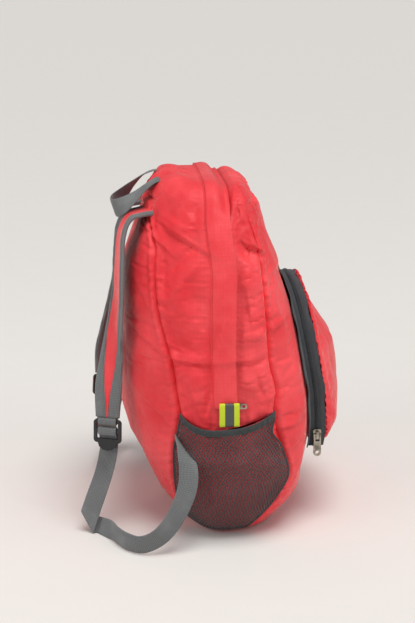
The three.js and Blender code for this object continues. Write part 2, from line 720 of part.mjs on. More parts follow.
function netPocket(mirror) {
  const outer = [];
  const inner = [];
  for (let r = 0; r <= NET_ROWS; r += 1) {
    for (let c = 0; c <= NET_COLUMNS; c += 1) {
      const w = THREE.MathUtils.lerp(POCKET_SIDE_MARGIN, 1 - POCKET_SIDE_MARGIN, c / NET_COLUMNS);
      const rise = r / NET_ROWS;
      const z = THREE.MathUtils.lerp(POCKET_BOTTOM_Z, pocketTop(w) - 2 * GAP, rise);
      const lift = netLift(w, rise);
      outer.push(sidePoint(w, z, lift, mirror));
      inner.push(sidePoint(w, z, lift - NET, mirror));
    }
  }
  return wall(outer, inner, gridTriangles(NET_ROWS + 1, NET_COLUMNS + 1));
}

function pocketBinding(mirror) {
  const outer = [];
  const inner = [];
  for (let c = 0; c <= BINDING_STEPS; c += 1) {
    const w = THREE.MathUtils.lerp(POCKET_SIDE_MARGIN, 1 - POCKET_SIDE_MARGIN, c / BINDING_STEPS);
    for (const height of [0, BINDING_HEIGHT]) {
      const z = pocketTop(w) + height;
      const lift = netLift(w, 1) + GAP;
      outer.push(sidePoint(w, z, lift, mirror));
      inner.push(sidePoint(w, z, lift - BINDING_THICK, mirror));
    }
  }
  return wall(outer, inner, gridTriangles(BINDING_STEPS + 1, 2));
}

// Reflective tab: a ribbon folded at its top, both ends at the seam above the net pocket
function reflectiveTab(mirror) {
  const stations = [];
  const across = new THREE.Vector3(0, 1, 0);
  const add = (z, lift) => {
    stations.push({ centre: sidePointAtY(TAB.y, z, lift, mirror), across, width: TAB.width });
  };
  const bendZ = TAB.topZ - TAB.bend;
  for (const z of [TAB.bottomZ, (TAB.bottomZ + bendZ) / 2, bendZ]) {
    add(z, TAB.lift + GAP);
  }
  add(TAB.topZ, TAB.lift + GAP + TAB.bend);
  for (const z of [bendZ, (TAB.bottomZ + bendZ) / 2, TAB.bottomZ]) {
    add(z, TAB.lift + GAP + 2 * TAB.bend);
  }
  return ribbon(stations, TAB.ribbon);
}

// Two closed bodies joined into one
const wasm = await Module();
wasm.setup();

function solidOf(geometry) {
  const bare = new THREE.BufferGeometry();
  bare.setAttribute("position", geometry.getAttribute("position").clone());
  bare.setIndex(geometry.index);
  const merged = mergeVertices(bare, WELD);
  const vertProperties = merged.getAttribute("position").array;
  const triVerts = new Uint32Array(merged.index.array);
  return new wasm.Manifold(new wasm.Mesh({ numProp: 3, vertProperties, triVerts }));
}

function joined(first, second) {
  const mesh = solidOf(first).add(solidOf(second)).getMesh();
  const geometry = new THREE.BufferGeometry();
  geometry.setAttribute("position", new THREE.Float32BufferAttribute(mesh.vertProperties, 3));
  geometry.setIndex(new THREE.Uint32BufferAttribute(mesh.triVerts, 1));
  geometry.computeVertexNormals();
  return geometry;
}

// Outline of a rounded slot or plate
function roundedRect(x1, y1, x2, y2, radius, Kind) {
  const shape = new Kind();
  shape.moveTo(x1 + radius, y1);
  shape.lineTo(x2 - radius, y1);
  shape.absarc(x2 - radius, y1 + radius, radius, -Math.PI / 2, 0, false);
  shape.lineTo(x2, y2 - radius);
  shape.absarc(x2 - radius, y2 - radius, radius, 0, Math.PI / 2, false);
  shape.lineTo(x1 + radius, y2);
  shape.absarc(x1 + radius, y2 - radius, radius, Math.PI / 2, Math.PI, false);
  shape.lineTo(x1, y1 + radius);
  shape.absarc(x1 + radius, y1 + radius, radius, Math.PI, 1.5 * Math.PI, false);
  return shape;
}

// Plate of a shape, centred on its own thickness and placed by three axes and an origin
function placedPlate(shape, thick, axes, origin) {
  const options = { depth: thick, bevelEnabled: false, curveSegments: ARC_SEGMENTS };
  const geometry = new THREE.ExtrudeGeometry(shape, options);
  geometry.translate(0, 0, -thick / 2);
  const frame = new THREE.Matrix4().makeBasis(axes.right, axes.up, axes.face).setPosition(origin);
  geometry.applyMatrix4(frame);
  geometry.deleteAttribute("uv");
  return geometry;
}

function mainZipPull() {
  const centre = sidePointAtY(MAIN_PULL.y, MAIN_PULL.z, MAIN_PULL.lift + MAIN_PULL.thick / 2, -1);
  const shape = roundedRect(
    -MAIN_PULL.length / 2, -MAIN_PULL.width / 2,
    MAIN_PULL.length / 2, MAIN_PULL.width / 2, MAIN_PULL.corner, THREE.Shape,
  );
  const { from, to, width, corner } = MAIN_PULL_HOLE;
  shape.holes.push(roundedRect(from, -width / 2, to, width / 2, corner, THREE.Path));
  const face = smoothNormal(angleAt(MAIN_PULL.y, MAIN_PULL.z), MAIN_PULL.z);
  const up = new THREE.Vector3(0, 0, 1).addScaledVector(face, -face.z).normalize();
  const right = new THREE.Vector3().crossVectors(up, face);
  return placedPlate(shape, MAIN_PULL.thick, { right, up, face }, centre);
}

// Front panel's y at a place seen from the front
function frontY(x, z) {
  const side = profileAt("side", z);
  const across = Math.min(Math.abs(x) / profileAt("halfWidth", z), 1);
  return side - (side - profileAt("front", z)) * (1 - across ** FRONT_ROUNDNESS) ** (1 / FRONT_ROUNDNESS);
}

// Half width of the front pocket at a height
function pocketHalfWidth(z) {
  const { halfWidth, springZ, topZ } = FRONT_POCKET;
  const rise = THREE.MathUtils.clamp((z - springZ) / (topZ - springZ), 0, 1);
  return halfWidth * Math.sqrt(1 - rise * rise);
}

// The front pocket's outline from its left end over the arch to its right end, with the
// direction that faces out of the pocket
function pocketOutline(steps) {
  const { halfWidth, bottomZ, springZ, topZ } = FRONT_POCKET;
  const path = new THREE.CurvePath();
  const corner = (x, z) => new THREE.Vector2(x, z);
  path.add(new THREE.LineCurve(corner(-halfWidth, bottomZ), corner(-halfWidth, springZ)));
  path.add(new THREE.EllipseCurve(0, springZ, halfWidth, topZ - springZ, Math.PI, 0, true));
  path.add(new THREE.LineCurve(corner(halfWidth, springZ), corner(halfWidth, bottomZ)));
  const stations = [];
  for (let k = 0; k <= steps; k += 1) {
    const point = path.getPointAt(k / steps);
    const along = path.getTangentAt(k / steps);
    stations.push({ x: point.x, z: point.y, outX: -along.y, outZ: along.x });
  }
  return stations;
}

// A strip that stands on the front panel along the pocket's outline
function outlineWall(nearDepth, farDepth, lift, thick) {
  const outer = [];
  const inner = [];
  const depthSteps = 2;
  const stations = pocketOutline(FRONT_ZIP_STATIONS);
  for (const { x, z, outX, outZ } of stations) {
    for (let d = 0; d <= depthSteps; d += 1) {
      const y = frontY(x, z) - THREE.MathUtils.lerp(nearDepth, farDepth, d / depthSteps);
      outer.push(new THREE.Vector3(x + outX * lift, y, z + outZ * lift));
      inner.push(new THREE.Vector3(x + outX * (lift - thick), y, z + outZ * (lift - thick)));
    }
  }
  return wall(outer, inner, gridTriangles(stations.length, depthSteps + 1));
}

// The pocket's domed face, from its seam below to the zip above
function pocketDome() {
  const outer = [];
  const inner = [];
  const topZ = FRONT_POCKET.topZ - DOME_TOP_GAP;
  const place = (x, z, reach) => new THREE.Vector3(x, frontY(x, z) - reach, z);
  const reachAt = (share, z) => {
    const fullZ = FRONT_POCKET.bottomZ - DOME_LEAD;
    const edge = FRONT_ZIP_DEPTH * THREE.MathUtils.smoothstep(z, FRONT_POCKET.floorZ, fullZ);
    const swell = 1 - Math.abs(share) ** DOME_FALL;
    const middle = Math.max(columnAt(DOME, "reach", z), edge);
    return CLOTH + GAP + DOME_SEAM + edge + (middle - edge) * swell;
  };
  for (let r = 0; r <= DOME_ROWS; r += 1) {
    const rise = r / DOME_ROWS;
    const eased = Math.sin((rise * Math.PI) / 2) ** DOME_ROW_EASE;
    const z = THREE.MathUtils.lerp(FRONT_POCKET.floorZ, topZ, eased);
    for (let c = 0; c <= DOME_COLUMNS; c += 1) {
      const share = Math.sin(((2 * c) / DOME_COLUMNS - 1) * (Math.PI / 2));
      const x = share * (pocketHalfWidth(z) - GAP);
      const point = place(x, z, reachAt(share, z));
      const step = 1;
      const reach = reachAt(share, z);
      const dx = place(x + step, z, reach).sub(place(x - step, z, reach));
      const above = place(x, z + step, reachAt(share, z + step));
      const below = place(x, z - step, reachAt(share, z - step));
      const out = dx.cross(above.sub(below)).normalize();
      outer.push(point);
      inner.push(point.clone().addScaledVector(out, out.y < 0 ? -CLOTH : CLOTH));
    }
  }
  return wall(outer, inner, gridTriangles(DOME_ROWS + 1, DOME_COLUMNS + 1));
}

// Axes at the slider of the front pocket zip: face points out of the pocket to the wearer's left
const SLIDER_FACE = new THREE.Vector3(-1, 0, 0);
const SLIDER_UP = new THREE.Vector3(0, 0, 1);
const SLIDER_RIGHT = new THREE.Vector3().crossVectors(SLIDER_UP, SLIDER_FACE);
const SLIDER_LIFT = COIL.lift + COIL.thick + GAP;
const SLIDER_CENTRE = new THREE.Vector3(
  -FRONT_POCKET.halfWidth - SLIDER_LIFT - SLIDER.thick / 2,
  frontY(FRONT_POCKET.halfWidth, SLIDER.z) - FRONT_ZIP_DEPTH / 2,
  SLIDER.z,
);
const PULL_HINGE = SLIDER_CENTRE.clone().addScaledVector(SLIDER_FACE, SLIDER.thick / 2 + HINGE_RISE);

// Slider body with its bridge: the bridge is an arch over the pull's bar
function pocketSlider() {
  const half = SLIDER.height / 2;
  const span = BRIDGE.span / 2;
  const top = SLIDER.thick / 2;
  const profile = new THREE.Shape();
  profile.moveTo(-half, -top);
  profile.lineTo(half, -top);
  profile.lineTo(half, top);
  profile.lineTo(span, top);
  profile.lineTo(span, top + BRIDGE.rise);
  profile.lineTo(-span, top + BRIDGE.rise);
  profile.lineTo(-span, top);
  profile.lineTo(-half, top);
  profile.closePath();
  const inside = span - BRIDGE.wire;
  profile.holes.push(roundedRect(
    -inside, top, inside, top + BRIDGE.rise - BRIDGE.wire, BRIDGE.corner, THREE.Path,
  ));
  const bridgeAxes = { right: SLIDER_UP, up: SLIDER_FACE, face: SLIDER_RIGHT };
  const bridge = placedPlate(profile, BRIDGE.width, bridgeAxes, SLIDER_CENTRE);
  const outline = roundedRect(
    -SLIDER.width / 2, -SLIDER.height / 2,
    SLIDER.width / 2, SLIDER.height / 2, SLIDER.corner, THREE.Shape,
  );
  const bodyAxes = { right: SLIDER_RIGHT, up: SLIDER_UP, face: SLIDER_FACE };
  const body = placedPlate(outline, SLIDER.thick, bodyAxes, SLIDER_CENTRE);
  return joined(body, bridge);
}

// Pull: a plate with a window at its top for the bridge and a round hole at its end
function pocketPull() {
  const shape = new THREE.Shape();
  const topHalf = PULL.topWidth / 2;
  const half = PULL.width / 2;
  const barHalf = PULL_WINDOW.bar / 2;
  shape.moveTo(-topHalf, barHalf);
  shape.lineTo(-topHalf, -PULL_WINDOW.length - PULL_WINDOW.bar);
  shape.lineTo(-half, -PULL.length + half);
  shape.absarc(0, -PULL.length + half, half, Math.PI, 2 * Math.PI, false);
  shape.lineTo(topHalf, -PULL_WINDOW.length - PULL_WINDOW.bar);
  shape.lineTo(topHalf, barHalf);
  shape.closePath();
  const windowHalf = topHalf - PULL_WINDOW.bar;
  shape.holes.push(roundedRect(
    -windowHalf, -barHalf - PULL_WINDOW.length, windowHalf, -barHalf, PULL_WINDOW.corner, THREE.Path,
  ));
  const hole = new THREE.Path();
  hole.absarc(0, -PULL.length + half, PULL.hole / 2, 0, 2 * Math.PI, true);
  shape.holes.push(hole);
  const axes = { right: SLIDER_RIGHT, up: SLIDER_UP, face: SLIDER_FACE };
  return placedPlate(shape, PULL.thick, axes, PULL_HINGE);
}

// Shoulder strap: stations with the turn of its face, on the side given by mirror
function strapStations(mirror) {
  const centres = new THREE.CatmullRomCurve3(STRAP.map((r) => new THREE.Vector3(mirror * r.x, r.y, r.z)));
  const forms = new THREE.CatmullRomCurve3(STRAP.map((r) => new THREE.Vector3(r.width, r.turn, r.cup)));
  const stations = [];
  for (let k = 0; k <= STRAP_STEPS; k += 1) {
    const t = centres.getUtoTmapping(k / STRAP_STEPS);
    const form = forms.getPoint(t);
    const ease = mirror > 0 ? Math.sin(Math.PI * t) : 0;
    const turn = THREE.MathUtils.degToRad(form.y + ease * RIGHT_STRAP_EASE.turn);
    const across = new THREE.Vector3(mirror * -Math.cos(turn), Math.sin(turn), 0);
    const centre = centres.getPoint(t);
    centre.y -= ease * RIGHT_STRAP_EASE.closer;
    stations.push({ centre, across, width: form.x, cup: form.z * -mirror });
  }
  return stations;
}

// The part of a strap between two shares of its width, as a strip of its own
function strapStrip(mirror, fromEdge, toEdge, thick, steps) {
  const outer = [];
  const inner = [];
  const stations = strapStations(mirror);
  stations.forEach((station, k) => {
    const frame = stripFrame(stations, k);
    const half = station.width / 2;
    for (let s = 0; s <= steps; s += 1) {
      const place = THREE.MathUtils.lerp(fromEdge(half), toEdge(half), s / steps);
      const share = place / half;
      const middle = station.centre.clone().addScaledVector(frame.across, place);
      middle.addScaledVector(frame.face, station.cup * (1 - share * share));
      outer.push(middle.clone().addScaledVector(frame.face, thick / 2));
      inner.push(middle.clone().addScaledVector(frame.face, -thick / 2));
    }
  });
  return wall(outer, inner, gridTriangles(stations.length, steps + 1));
}

// Axes of the buckle at a strap's end: down the strap, across it and out of its face
function lockFrame(mirror) {
  const stations = strapStations(mirror);
  const frame = stripFrame(stations, stations.length - 1);
  const out = frame.face.clone().multiplyScalar(mirror);
  return { origin: stations.at(-1).centre, down: frame.along, across: frame.across, out };
}

function ladderLock(mirror) {
  const { origin, down, across, out } = lockFrame(mirror);
  const half = LOCK.width / 2;
  const shape = new THREE.Shape();
  const tabHalf = LOCK.tabWidth / 2;
  shape.moveTo(-half + LOCK.corner, LOCK.top);
  shape.lineTo(half - LOCK.corner, LOCK.top);
  shape.absarc(half - LOCK.corner, LOCK.top + LOCK.corner, LOCK.corner, -Math.PI / 2, 0, false);
  shape.lineTo(half, LOCK.bottom - LOCK.corner);
  shape.absarc(half - LOCK.corner, LOCK.bottom - LOCK.corner, LOCK.corner, 0, Math.PI / 2, false);
  shape.lineTo(tabHalf, LOCK.bottom);
  shape.absellipse(0, LOCK.bottom, tabHalf, LOCK.tabLength, 0, Math.PI, false);
  shape.lineTo(-half + LOCK.corner, LOCK.bottom);
  shape.absarc(-half + LOCK.corner, LOCK.bottom - LOCK.corner, LOCK.corner, Math.PI / 2, Math.PI, false);
  shape.lineTo(-half, LOCK.top + LOCK.corner);
  shape.absarc(-half + LOCK.corner, LOCK.top + LOCK.corner, LOCK.corner, Math.PI, 1.5 * Math.PI, false);
  for (const slot of LOCK_SLOTS) {
    const slotHalf = LOCK_SLOT_WIDTH / 2;
    shape.holes.push(roundedRect(-slotHalf, slot.from, slotHalf, slot.to, LOCK_SLOT_CORNER, THREE.Path));
  }
  const right = new THREE.Vector3().crossVectors(down, out);
  return placedPlate(shape, LOCK.thick, { right, up: down, face: out }, origin);
}

// A place near the buckle, given down and out from the strap's end
function lockPlace(frame, row) {
  return frame.origin.clone().addScaledVector(frame.down, row.down).addScaledVector(frame.out, row.out);
}

function endLoop(mirror) {
  const frame = lockFrame(mirror);
  const curve = new THREE.CatmullRomCurve3(END_LOOP.map((row) => lockPlace(frame, row)));
  const stations = curve.getPoints(END_LOOP_STEPS).map((centre) => {
    return { centre, across: frame.across, width: WEBBING_WIDTH };
  });
  return ribbon(stations, WEBBING);
}

function lowerWebbing(mirror) {
  const frame = lockFrame(mirror);
  const { across } = frame;
  const rows = LOCK_THREAD.map((row) => {
    const { x, y, z } = lockPlace(frame, row);
    return { x: mirror * x, y, z, wx: mirror * across.x, wy: across.y, wz: across.z };
  });
  const run = mirror < 0 ? LEFT_WEBBING_RUN : RIGHT_WEBBING_RUN;
  return ribbon(stationsFrom([...rows, ...run], WEBBING_STEPS, WEBBING_WIDTH, mirror), WEBBING);
}

// Grab handle: the left half of the loop and its mirror image
function grabHandle() {
  return ribbon(stationsFrom(HANDLE, HANDLE_STEPS, HANDLE_WIDTH, 1), WEBBING);
}

const group = new THREE.Group();

function addPart(name, geometry, material) {
  const mesh = new THREE.Mesh(geometry, new THREE.MeshStandardMaterial(MATERIALS[material]));
  mesh.name = name;
  group.add(mesh);
}

for (const [name, geometry] of Object.entries(bagPanels())) {
  addPart(name, geometry, "cloth");
}
addPart("zip_flap", archStrip(FLAP_OFFSET, FLAP_WIDTH, FLAP_LIFT, CLOTH), "cloth");
addPart("main_zip", archStrip(0, ZIP_TAPE_WIDTH, ZIP_TAPE_LIFT, CLOTH), "tape");
addPart("main_zip_pull", mainZipPull(), "metal");
addPart("front_pocket", pocketDome(), "cloth");
addPart("pocket_zip_tape", outlineWall(2 * GAP, FRONT_ZIP_DEPTH - 2 * GAP, 0, CLOTH), "tape");
const coilFrom = (FRONT_ZIP_DEPTH - COIL.width) / 2;
const coilTo = coilFrom + COIL.width;
addPart("pocket_zip_coil", outlineWall(coilFrom, coilTo, COIL.lift + COIL.thick, COIL.thick), "tape");
addPart("pocket_slider", pocketSlider(), "metal");
addPart("pocket_pull", pocketPull(), "metal");
addPart("grab_handle", grabHandle(), "webbing");
for (const [side, mirror] of [["left", -1], ["right", 1]]) {
  addPart(`net_pocket_${side}`, netPocket(mirror), "net");
  addPart(`pocket_binding_${side}`, pocketBinding(mirror), "tape");
  addPart(`reflective_tab_${side}`, reflectiveTab(mirror), "reflector");
  const inset = EDGE_TAPE + 2 * GAP;
  addPart(
    `shoulder_strap_${side}`,
    strapStrip(mirror, (half) => inset - half, (half) => half - inset, STRAP_THICK, STRAP_ACROSS),
    "cloth",
  );
  addPart(
    `strap_binding_outboard_${side}`,
    strapStrip(mirror, (half) => -half, (half) => EDGE_TAPE - half, EDGE_TAPE_THICK, 1),
    "webbing",
  );
  addPart(
    `strap_binding_inboard_${side}`,
    strapStrip(mirror, (half) => half - EDGE_TAPE, (half) => half, EDGE_TAPE_THICK, 1),
    "webbing",
  );
  addPart(`strap_end_loop_${side}`, endLoop(mirror), "webbing");
  addPart(`ladder_lock_${side}`, ladderLock(mirror), "plastic");
  addPart(`lower_webbing_${side}`, lowerWebbing(mirror), "webbing");
}

export default group;
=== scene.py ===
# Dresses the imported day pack: sewn ripstop panels, net pockets, zips, webbing, straps and a studio.
import math

import bmesh
import bpy
import numpy as np
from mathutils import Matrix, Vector, noise


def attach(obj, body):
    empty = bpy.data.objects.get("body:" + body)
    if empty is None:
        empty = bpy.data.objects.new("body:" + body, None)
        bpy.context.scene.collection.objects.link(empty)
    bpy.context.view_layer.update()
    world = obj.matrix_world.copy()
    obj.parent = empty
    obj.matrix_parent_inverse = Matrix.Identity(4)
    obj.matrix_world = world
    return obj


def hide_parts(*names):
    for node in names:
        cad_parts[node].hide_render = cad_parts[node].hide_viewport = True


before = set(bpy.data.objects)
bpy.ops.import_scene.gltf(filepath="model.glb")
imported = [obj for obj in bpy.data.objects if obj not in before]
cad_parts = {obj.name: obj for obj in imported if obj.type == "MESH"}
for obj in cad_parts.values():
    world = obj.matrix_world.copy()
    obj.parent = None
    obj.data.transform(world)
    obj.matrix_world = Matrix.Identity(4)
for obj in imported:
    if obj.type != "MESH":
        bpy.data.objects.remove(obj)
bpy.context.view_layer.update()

# Lengths below are in millimetres unless a name says otherwise.
MM = 0.001
LEFT, RIGHT = -1, 1
SIDE_NAMES = {LEFT: "left", RIGHT: "right"}

# Bag form, the same values as in the solids: z, half width, back, front, side line, seams and zip
PROFILE_KEYS = ("z", "half_width", "back", "front", "side", "back_seam", "front_seam", "zip")
PROFILE_ROWS = (
    (0, 102, 27, -66, -14, 2, -28, -13),
    (12, 119, 40, -80, -14, 22, -39, -13),
    (28, 130, 52, -92, -13, 35, -52, -13),
    (50, 139, 64, -103, -12, 40, -68, -13),
    (74, 143, 76, -112, -12, 43, -80, -13),
    (107, 145, 91, -117, -11, 44, -72, -13),
    (145, 144, 100, -116, -11, 38, -63, -13),
    (172, 143, 102, -112, -10, 42, -65, -12),
    (200, 142, 102, -106, -9, 46, -58, -11),
    (250, 139, 97, -92, -7, 59, -54, -11),
    (290, 134, 90, -78, -5, 63, -51, -12),
    (320, 127, 81, -67, -4, 62, -47, -14),
    (345, 116, 71, -57, -4, 65, -40, -17),
    (364, 102, 64, -49, -4, 57, -34, -20),
)
PROFILE = {key: np.array(column, float) for key, column in zip(PROFILE_KEYS, zip(*PROFILE_ROWS))}
BACK_ROUNDNESS = 2.25
FRONT_ROUNDNESS = 3.0
BASE_EDGE_Z = 3.0
SPLIT_Z = 140.0
TOP_EDGE_Z = 364.0
TOP_CROWN = 19.0
TOP_TILT = 0.13
TOP_SQUARENESS = 7
BASE_CENTRE_Y = -30.0
TOP_CENTRE_Y = -20.0
BASE_FLAT_SHARE = 0.94
INSIDE = np.array((0.0, -10.0, 180.0))

# Creases seen from the side: side (0 is both), ends (y, z), half width, depth (minus is a valley)
CREASES = (
    (LEFT, 60, 346, 28, 331, 7, -5.5),
    (LEFT, 28, 331, 2, 316, 8, -2.5),
    (LEFT, 54, 352, 30, 341, 6, 2.5),
    (LEFT, 66, 332, 50, 318, 6, -3.0),
    (0, -34, 329, -51, 317, 6, -5.5),
    (0, -30, 316, -50, 308, 8, 2.5),
    (0, -32, 276, -36, 246, 6, -4.0),
    (0, -42, 282, -46, 250, 6, 2.5),
    (LEFT, -8, 250, 3, 205, 6, -3.5),
    (0, 3, 205, 2, 182, 6, -3.5),
    (0, 12, 236, 12, 186, 7, 2.0),
    (0, 42, 207, 3, 203, 7, -3.0),
    (0, 42, 213, 4, 210, 6, 2.0),
    (0, 3, 203, -52, 209, 7, -3.0),
    (LEFT, 3, 182, 10, 150, 6, -2.5),
    (LEFT, 28, 178, 20, 152, 6, -2.5),

    (LEFT, -44, 190, -52, 168, 7, -3.0),
    (LEFT, 96, 234, 44, 205, 5, -2.0),
    (LEFT, 92, 300, 72, 260, 9, -1.5),
    (LEFT, 70, 150, 46, 132, 8, -2.0),
    (LEFT, -58, 236, -84, 244, 6, -2.0),
    (LEFT, -60, 129, -88, 129, 8, -3.0),
    (RIGHT, 60, 318, 14, 278, 8, -4.5),
    (RIGHT, 52, 250, 10, 225, 8, 2.5),
    (RIGHT, 94, 170, 46, 205, 7, -2.5),
    (RIGHT, 56, 340, 24, 326, 7, -3.5),
    (RIGHT, 44, 176, 20, 150, 7, -2.5),
)
CREASE_FADE = (55, 95)
FOLD_STEP = 0.7
FOLD_GAIN = 1.5

# Colours, as 0 to 255 values of a screen
RED = (252, 81, 87)
RED_DEEP = (232, 47, 56)
GREY_WEB = (128, 131, 132)
GREY_TAPE = (74, 79, 83)
GREY_BAND = (66, 71, 72)
NET_DARK = (100, 90, 92)
MESH_DARK = (48, 40, 42)
NEON = (214, 232, 36)
TAB_GREY = (84, 88, 84)
BLACK_PLASTIC = (30, 30, 32)
NICKEL = (178, 170, 156)


def linear(colour):
    """A screen colour as the linear values that shaders take."""
    values = np.array(colour) / 255.0
    out = np.where(values <= 0.04045, values / 12.92, ((values + 0.055) / 1.055) ** 2.4)
    return (*map(float, out), 1.0)


# Tables and curves
def profile(key, z):
    """Smooth value of a profile column at heights z."""
    heights = PROFILE["z"]
    values = PROFILE[key]
    slopes = np.empty_like(values)
    slopes[1:-1] = (values[2:] - values[:-2]) / (heights[2:] - heights[:-2])
    slopes[0] = (values[1] - values[0]) / (heights[1] - heights[0])
    slopes[-1] = (values[-1] - values[-2]) / (heights[-1] - heights[-2])
    at = np.clip(np.asarray(z, float), heights[0], heights[-1])
    low = np.clip(np.searchsorted(heights, at, side="right") - 1, 0, len(heights) - 2)
    span = heights[low + 1] - heights[low]
    t = (at - heights[low]) / span
    return (
        (2 * t**3 - 3 * t**2 + 1) * values[low]
        + (t**3 - 2 * t**2 + t) * span * slopes[low]
        + (3 * t**2 - 2 * t**3) * values[low + 1]
        + (t**3 - t**2) * span * slopes[low + 1]
    )


def signed_power(value, power):
    return np.sign(value) * np.abs(value) ** power


def smoothstep(value, low, high):
    t = np.clip((np.asarray(value, float) - low) / (high - low), 0, 1)
    return t * t * (3 - 2 * t)


def angle_at(y, z):
    """Angle round the bag from the middle of the back at which a level has this y on the left."""
    side = profile("side", z)
    to_back = y > side
    reach = np.where(to_back, profile("back", z) - side, side - profile("front", z))
    roundness = np.where(to_back, BACK_ROUNDNESS, FRONT_ROUNDNESS)
    return np.arccos(np.clip(signed_power((y - side) / reach, roundness / 2), -1, 1))


def bag_point(angle, z):
    """Points of the smooth bag at angles round it and heights."""
    angle, z = np.broadcast_arrays(np.asarray(angle, float), np.asarray(z, float))
    side = profile("side", z)
    cosine = np.cos(angle)
    to_back = cosine > 0
    reach = np.where(to_back, profile("back", z) - side, side - profile("front", z))
    roundness = np.where(to_back, BACK_ROUNDNESS, FRONT_ROUNDNESS)
    x = -profile("half_width", z) * signed_power(np.sin(angle), 2 / roundness)
    return np.stack([x, side + reach * signed_power(cosine, 2 / roundness), z], -1)


def unit(vectors):
    return vectors / np.maximum(np.linalg.norm(vectors, axis=-1, keepdims=True), 1e-9)


def bag_normal(angle, z):
    """Outward normals of the smooth bag."""
    d_angle, d_height = 0.01, 1.0
    around = bag_point(angle + d_angle, z) - bag_point(angle - d_angle, z)
    upward = bag_point(angle, z + d_height) - bag_point(angle, z - d_height)
    normal = unit(np.cross(around, upward))
    outward = np.stack([-np.sin(angle), np.cos(angle), np.zeros_like(angle)], -1)
    flip = np.sum(normal * outward, -1, keepdims=True) < 0
    return np.where(flip, -normal, normal)


def crease_depth(points):
    """Depth of the creases at points of the bag's sides: a valley has a fold of cloth hanging over it."""
    depth = np.zeros(points.shape[:-1])
    fade = smoothstep(np.abs(points[..., 0]), *CREASE_FADE)
    for side, y1, z1, y2, z2, width, push in CREASES:
        start = np.array((y1, z1), float)
        line = np.array((y2, z2), float) - start
        seen = points[..., 1:] - start
        along = np.clip(seen @ line / (line @ line), 0, 1)
        away = np.linalg.norm(seen - along[..., None] * line, axis=-1)
        ends = 0.3 + 0.7 * np.sin(math.pi * np.clip(along, 0.08, 0.92))
        if push < 0:
            over = (line[1] * seen[..., 0] - line[0] * seen[..., 1]) / np.linalg.norm(line)
            share = 0.5 + 0.5 * np.tanh(over / FOLD_STEP)
            form = (0.55 - share) * np.exp(-away / width)
        else:
            form = np.clip(1 - away / width, 0, 1)
        own = 1.0 if side == 0 else (np.sign(points[..., 0]) == side)
        depth += (FOLD_GAIN if push < 0 else 1.0) * push * ends * form * fade * own
    return depth


def side_point(y, z, lift, mirror):
    """Points over the bag's side at given y and z, lifted off it; mirror picks the side."""
    y, z = np.broadcast_arrays(np.asarray(y, float), np.asarray(z, float))
    angle = angle_at(y, z)
    point = bag_point(angle, z)
    seen = point * np.array((-mirror, 1, 1))
    push = crease_depth(seen) + lift
    point = point + bag_normal(angle, z) * push[..., None]
    return point * np.array((-mirror, 1, 1))


def even_curve(points, count):
    """The same curve with evenly spaced points."""
    steps = np.linalg.norm(np.diff(points, axis=0), axis=1)
    length = np.concatenate([[0], np.cumsum(steps)])
    at = np.linspace(0, length[-1], count)
    return np.stack([np.interp(at, length, points[:, k]) for k in range(points.shape[1])], -1)


def level_curve(z, stops, counts):
    """One level of the bag through angle stops, with some even steps between each two."""
    parts = []
    for first, last, count in zip(stops, stops[1:], counts):
        fine = bag_point(np.linspace(first, last, 500), z)
        part = even_curve(fine, count + 1)
        parts.append(part if not parts else part[1:])
    return np.concatenate(parts)


def catmull(rows, t):
    """Centripetal Catmull-Rom curve through rows of numbers, at shares t of its rows."""
    rows = np.asarray(rows, float)
    ends = np.vstack([2 * rows[0] - rows[1], rows, 2 * rows[-1] - rows[-2]])
    at = np.clip(np.asarray(t, float), 0, 1) * (len(rows) - 1)
    low = np.minimum(at.astype(int), len(rows) - 2)
    w = (at - low)[:, None]
    p0, p1, p2, p3 = (ends[low + k] for k in range(4))
    gaps = [np.sqrt(np.linalg.norm(b - a, axis=1))[:, None] for a, b in ((p0, p1), (p1, p2), (p2, p3))]
    d0, d1, d2 = (np.maximum(gap, 1e-3) for gap in gaps)
    out = ((p1 - p0) / d0 - (p2 - p0) / (d0 + d1) + (p2 - p1) / d1) * d1
    into = ((p2 - p1) / d1 - (p3 - p1) / (d1 + d2) + (p3 - p2) / d2) * d1
    bend2 = -3 * p1 + 3 * p2 - 2 * out - into
    bend3 = 2 * p1 - 2 * p2 + out + into
    return p1 + out * w + bend2 * w**2 + bend3 * w**3


# Meshes
def grid_faces(rows, columns, start=0, around=False):
    index = np.arange(rows * columns).reshape(rows, columns) + start
    if around:
        index = np.concatenate([index, index[:, :1]], axis=1)
    quads = np.stack([index[:-1, :-1], index[:-1, 1:], index[1:, 1:], index[1:, :-1]], -1)
    return quads.reshape(-1, 4).tolist()


def add_mesh(name, points, faces, material, cloth=None):
    """A smooth mesh object from points in millimetres; cloth holds flat coordinates of the weave."""
    points = np.asarray(points, float).reshape(-1, 3)
    mesh = bpy.data.meshes.new(name)
    mesh.from_pydata((points * MM).tolist(), [], faces)
    if cloth is not None:
        flat = np.zeros((len(points), 3), np.float32)
        flat[:, :2] = np.asarray(cloth).reshape(-1, 2)
        mesh.attributes.new("cloth", "FLOAT_VECTOR", "POINT").data.foreach_set("vector", flat.ravel())
    mesh.shade_smooth()
    mesh.update()
    obj = bpy.data.objects.new(name, mesh)
    bpy.context.scene.collection.objects.link(obj)
    mesh.materials.append(material)
    return obj


def face_out(obj, closed=True, inside=None):
    """Turns a mesh's faces to look out, of a closed body or away from a point inside."""
    shape = bmesh.new()
    shape.from_mesh(obj.data)
    if closed:
        bmesh.ops.recalc_face_normals(shape, faces=shape.faces)
    else:
        middle = Vector(inside) * MM
        total = sum((f.calc_center_median() - middle).dot(f.normal) * f.calc_area() for f in shape.faces)
        if total < 0:
            bmesh.ops.reverse_faces(shape, faces=shape.faces)
    shape.to_mesh(obj.data)
    shape.free()
    return obj


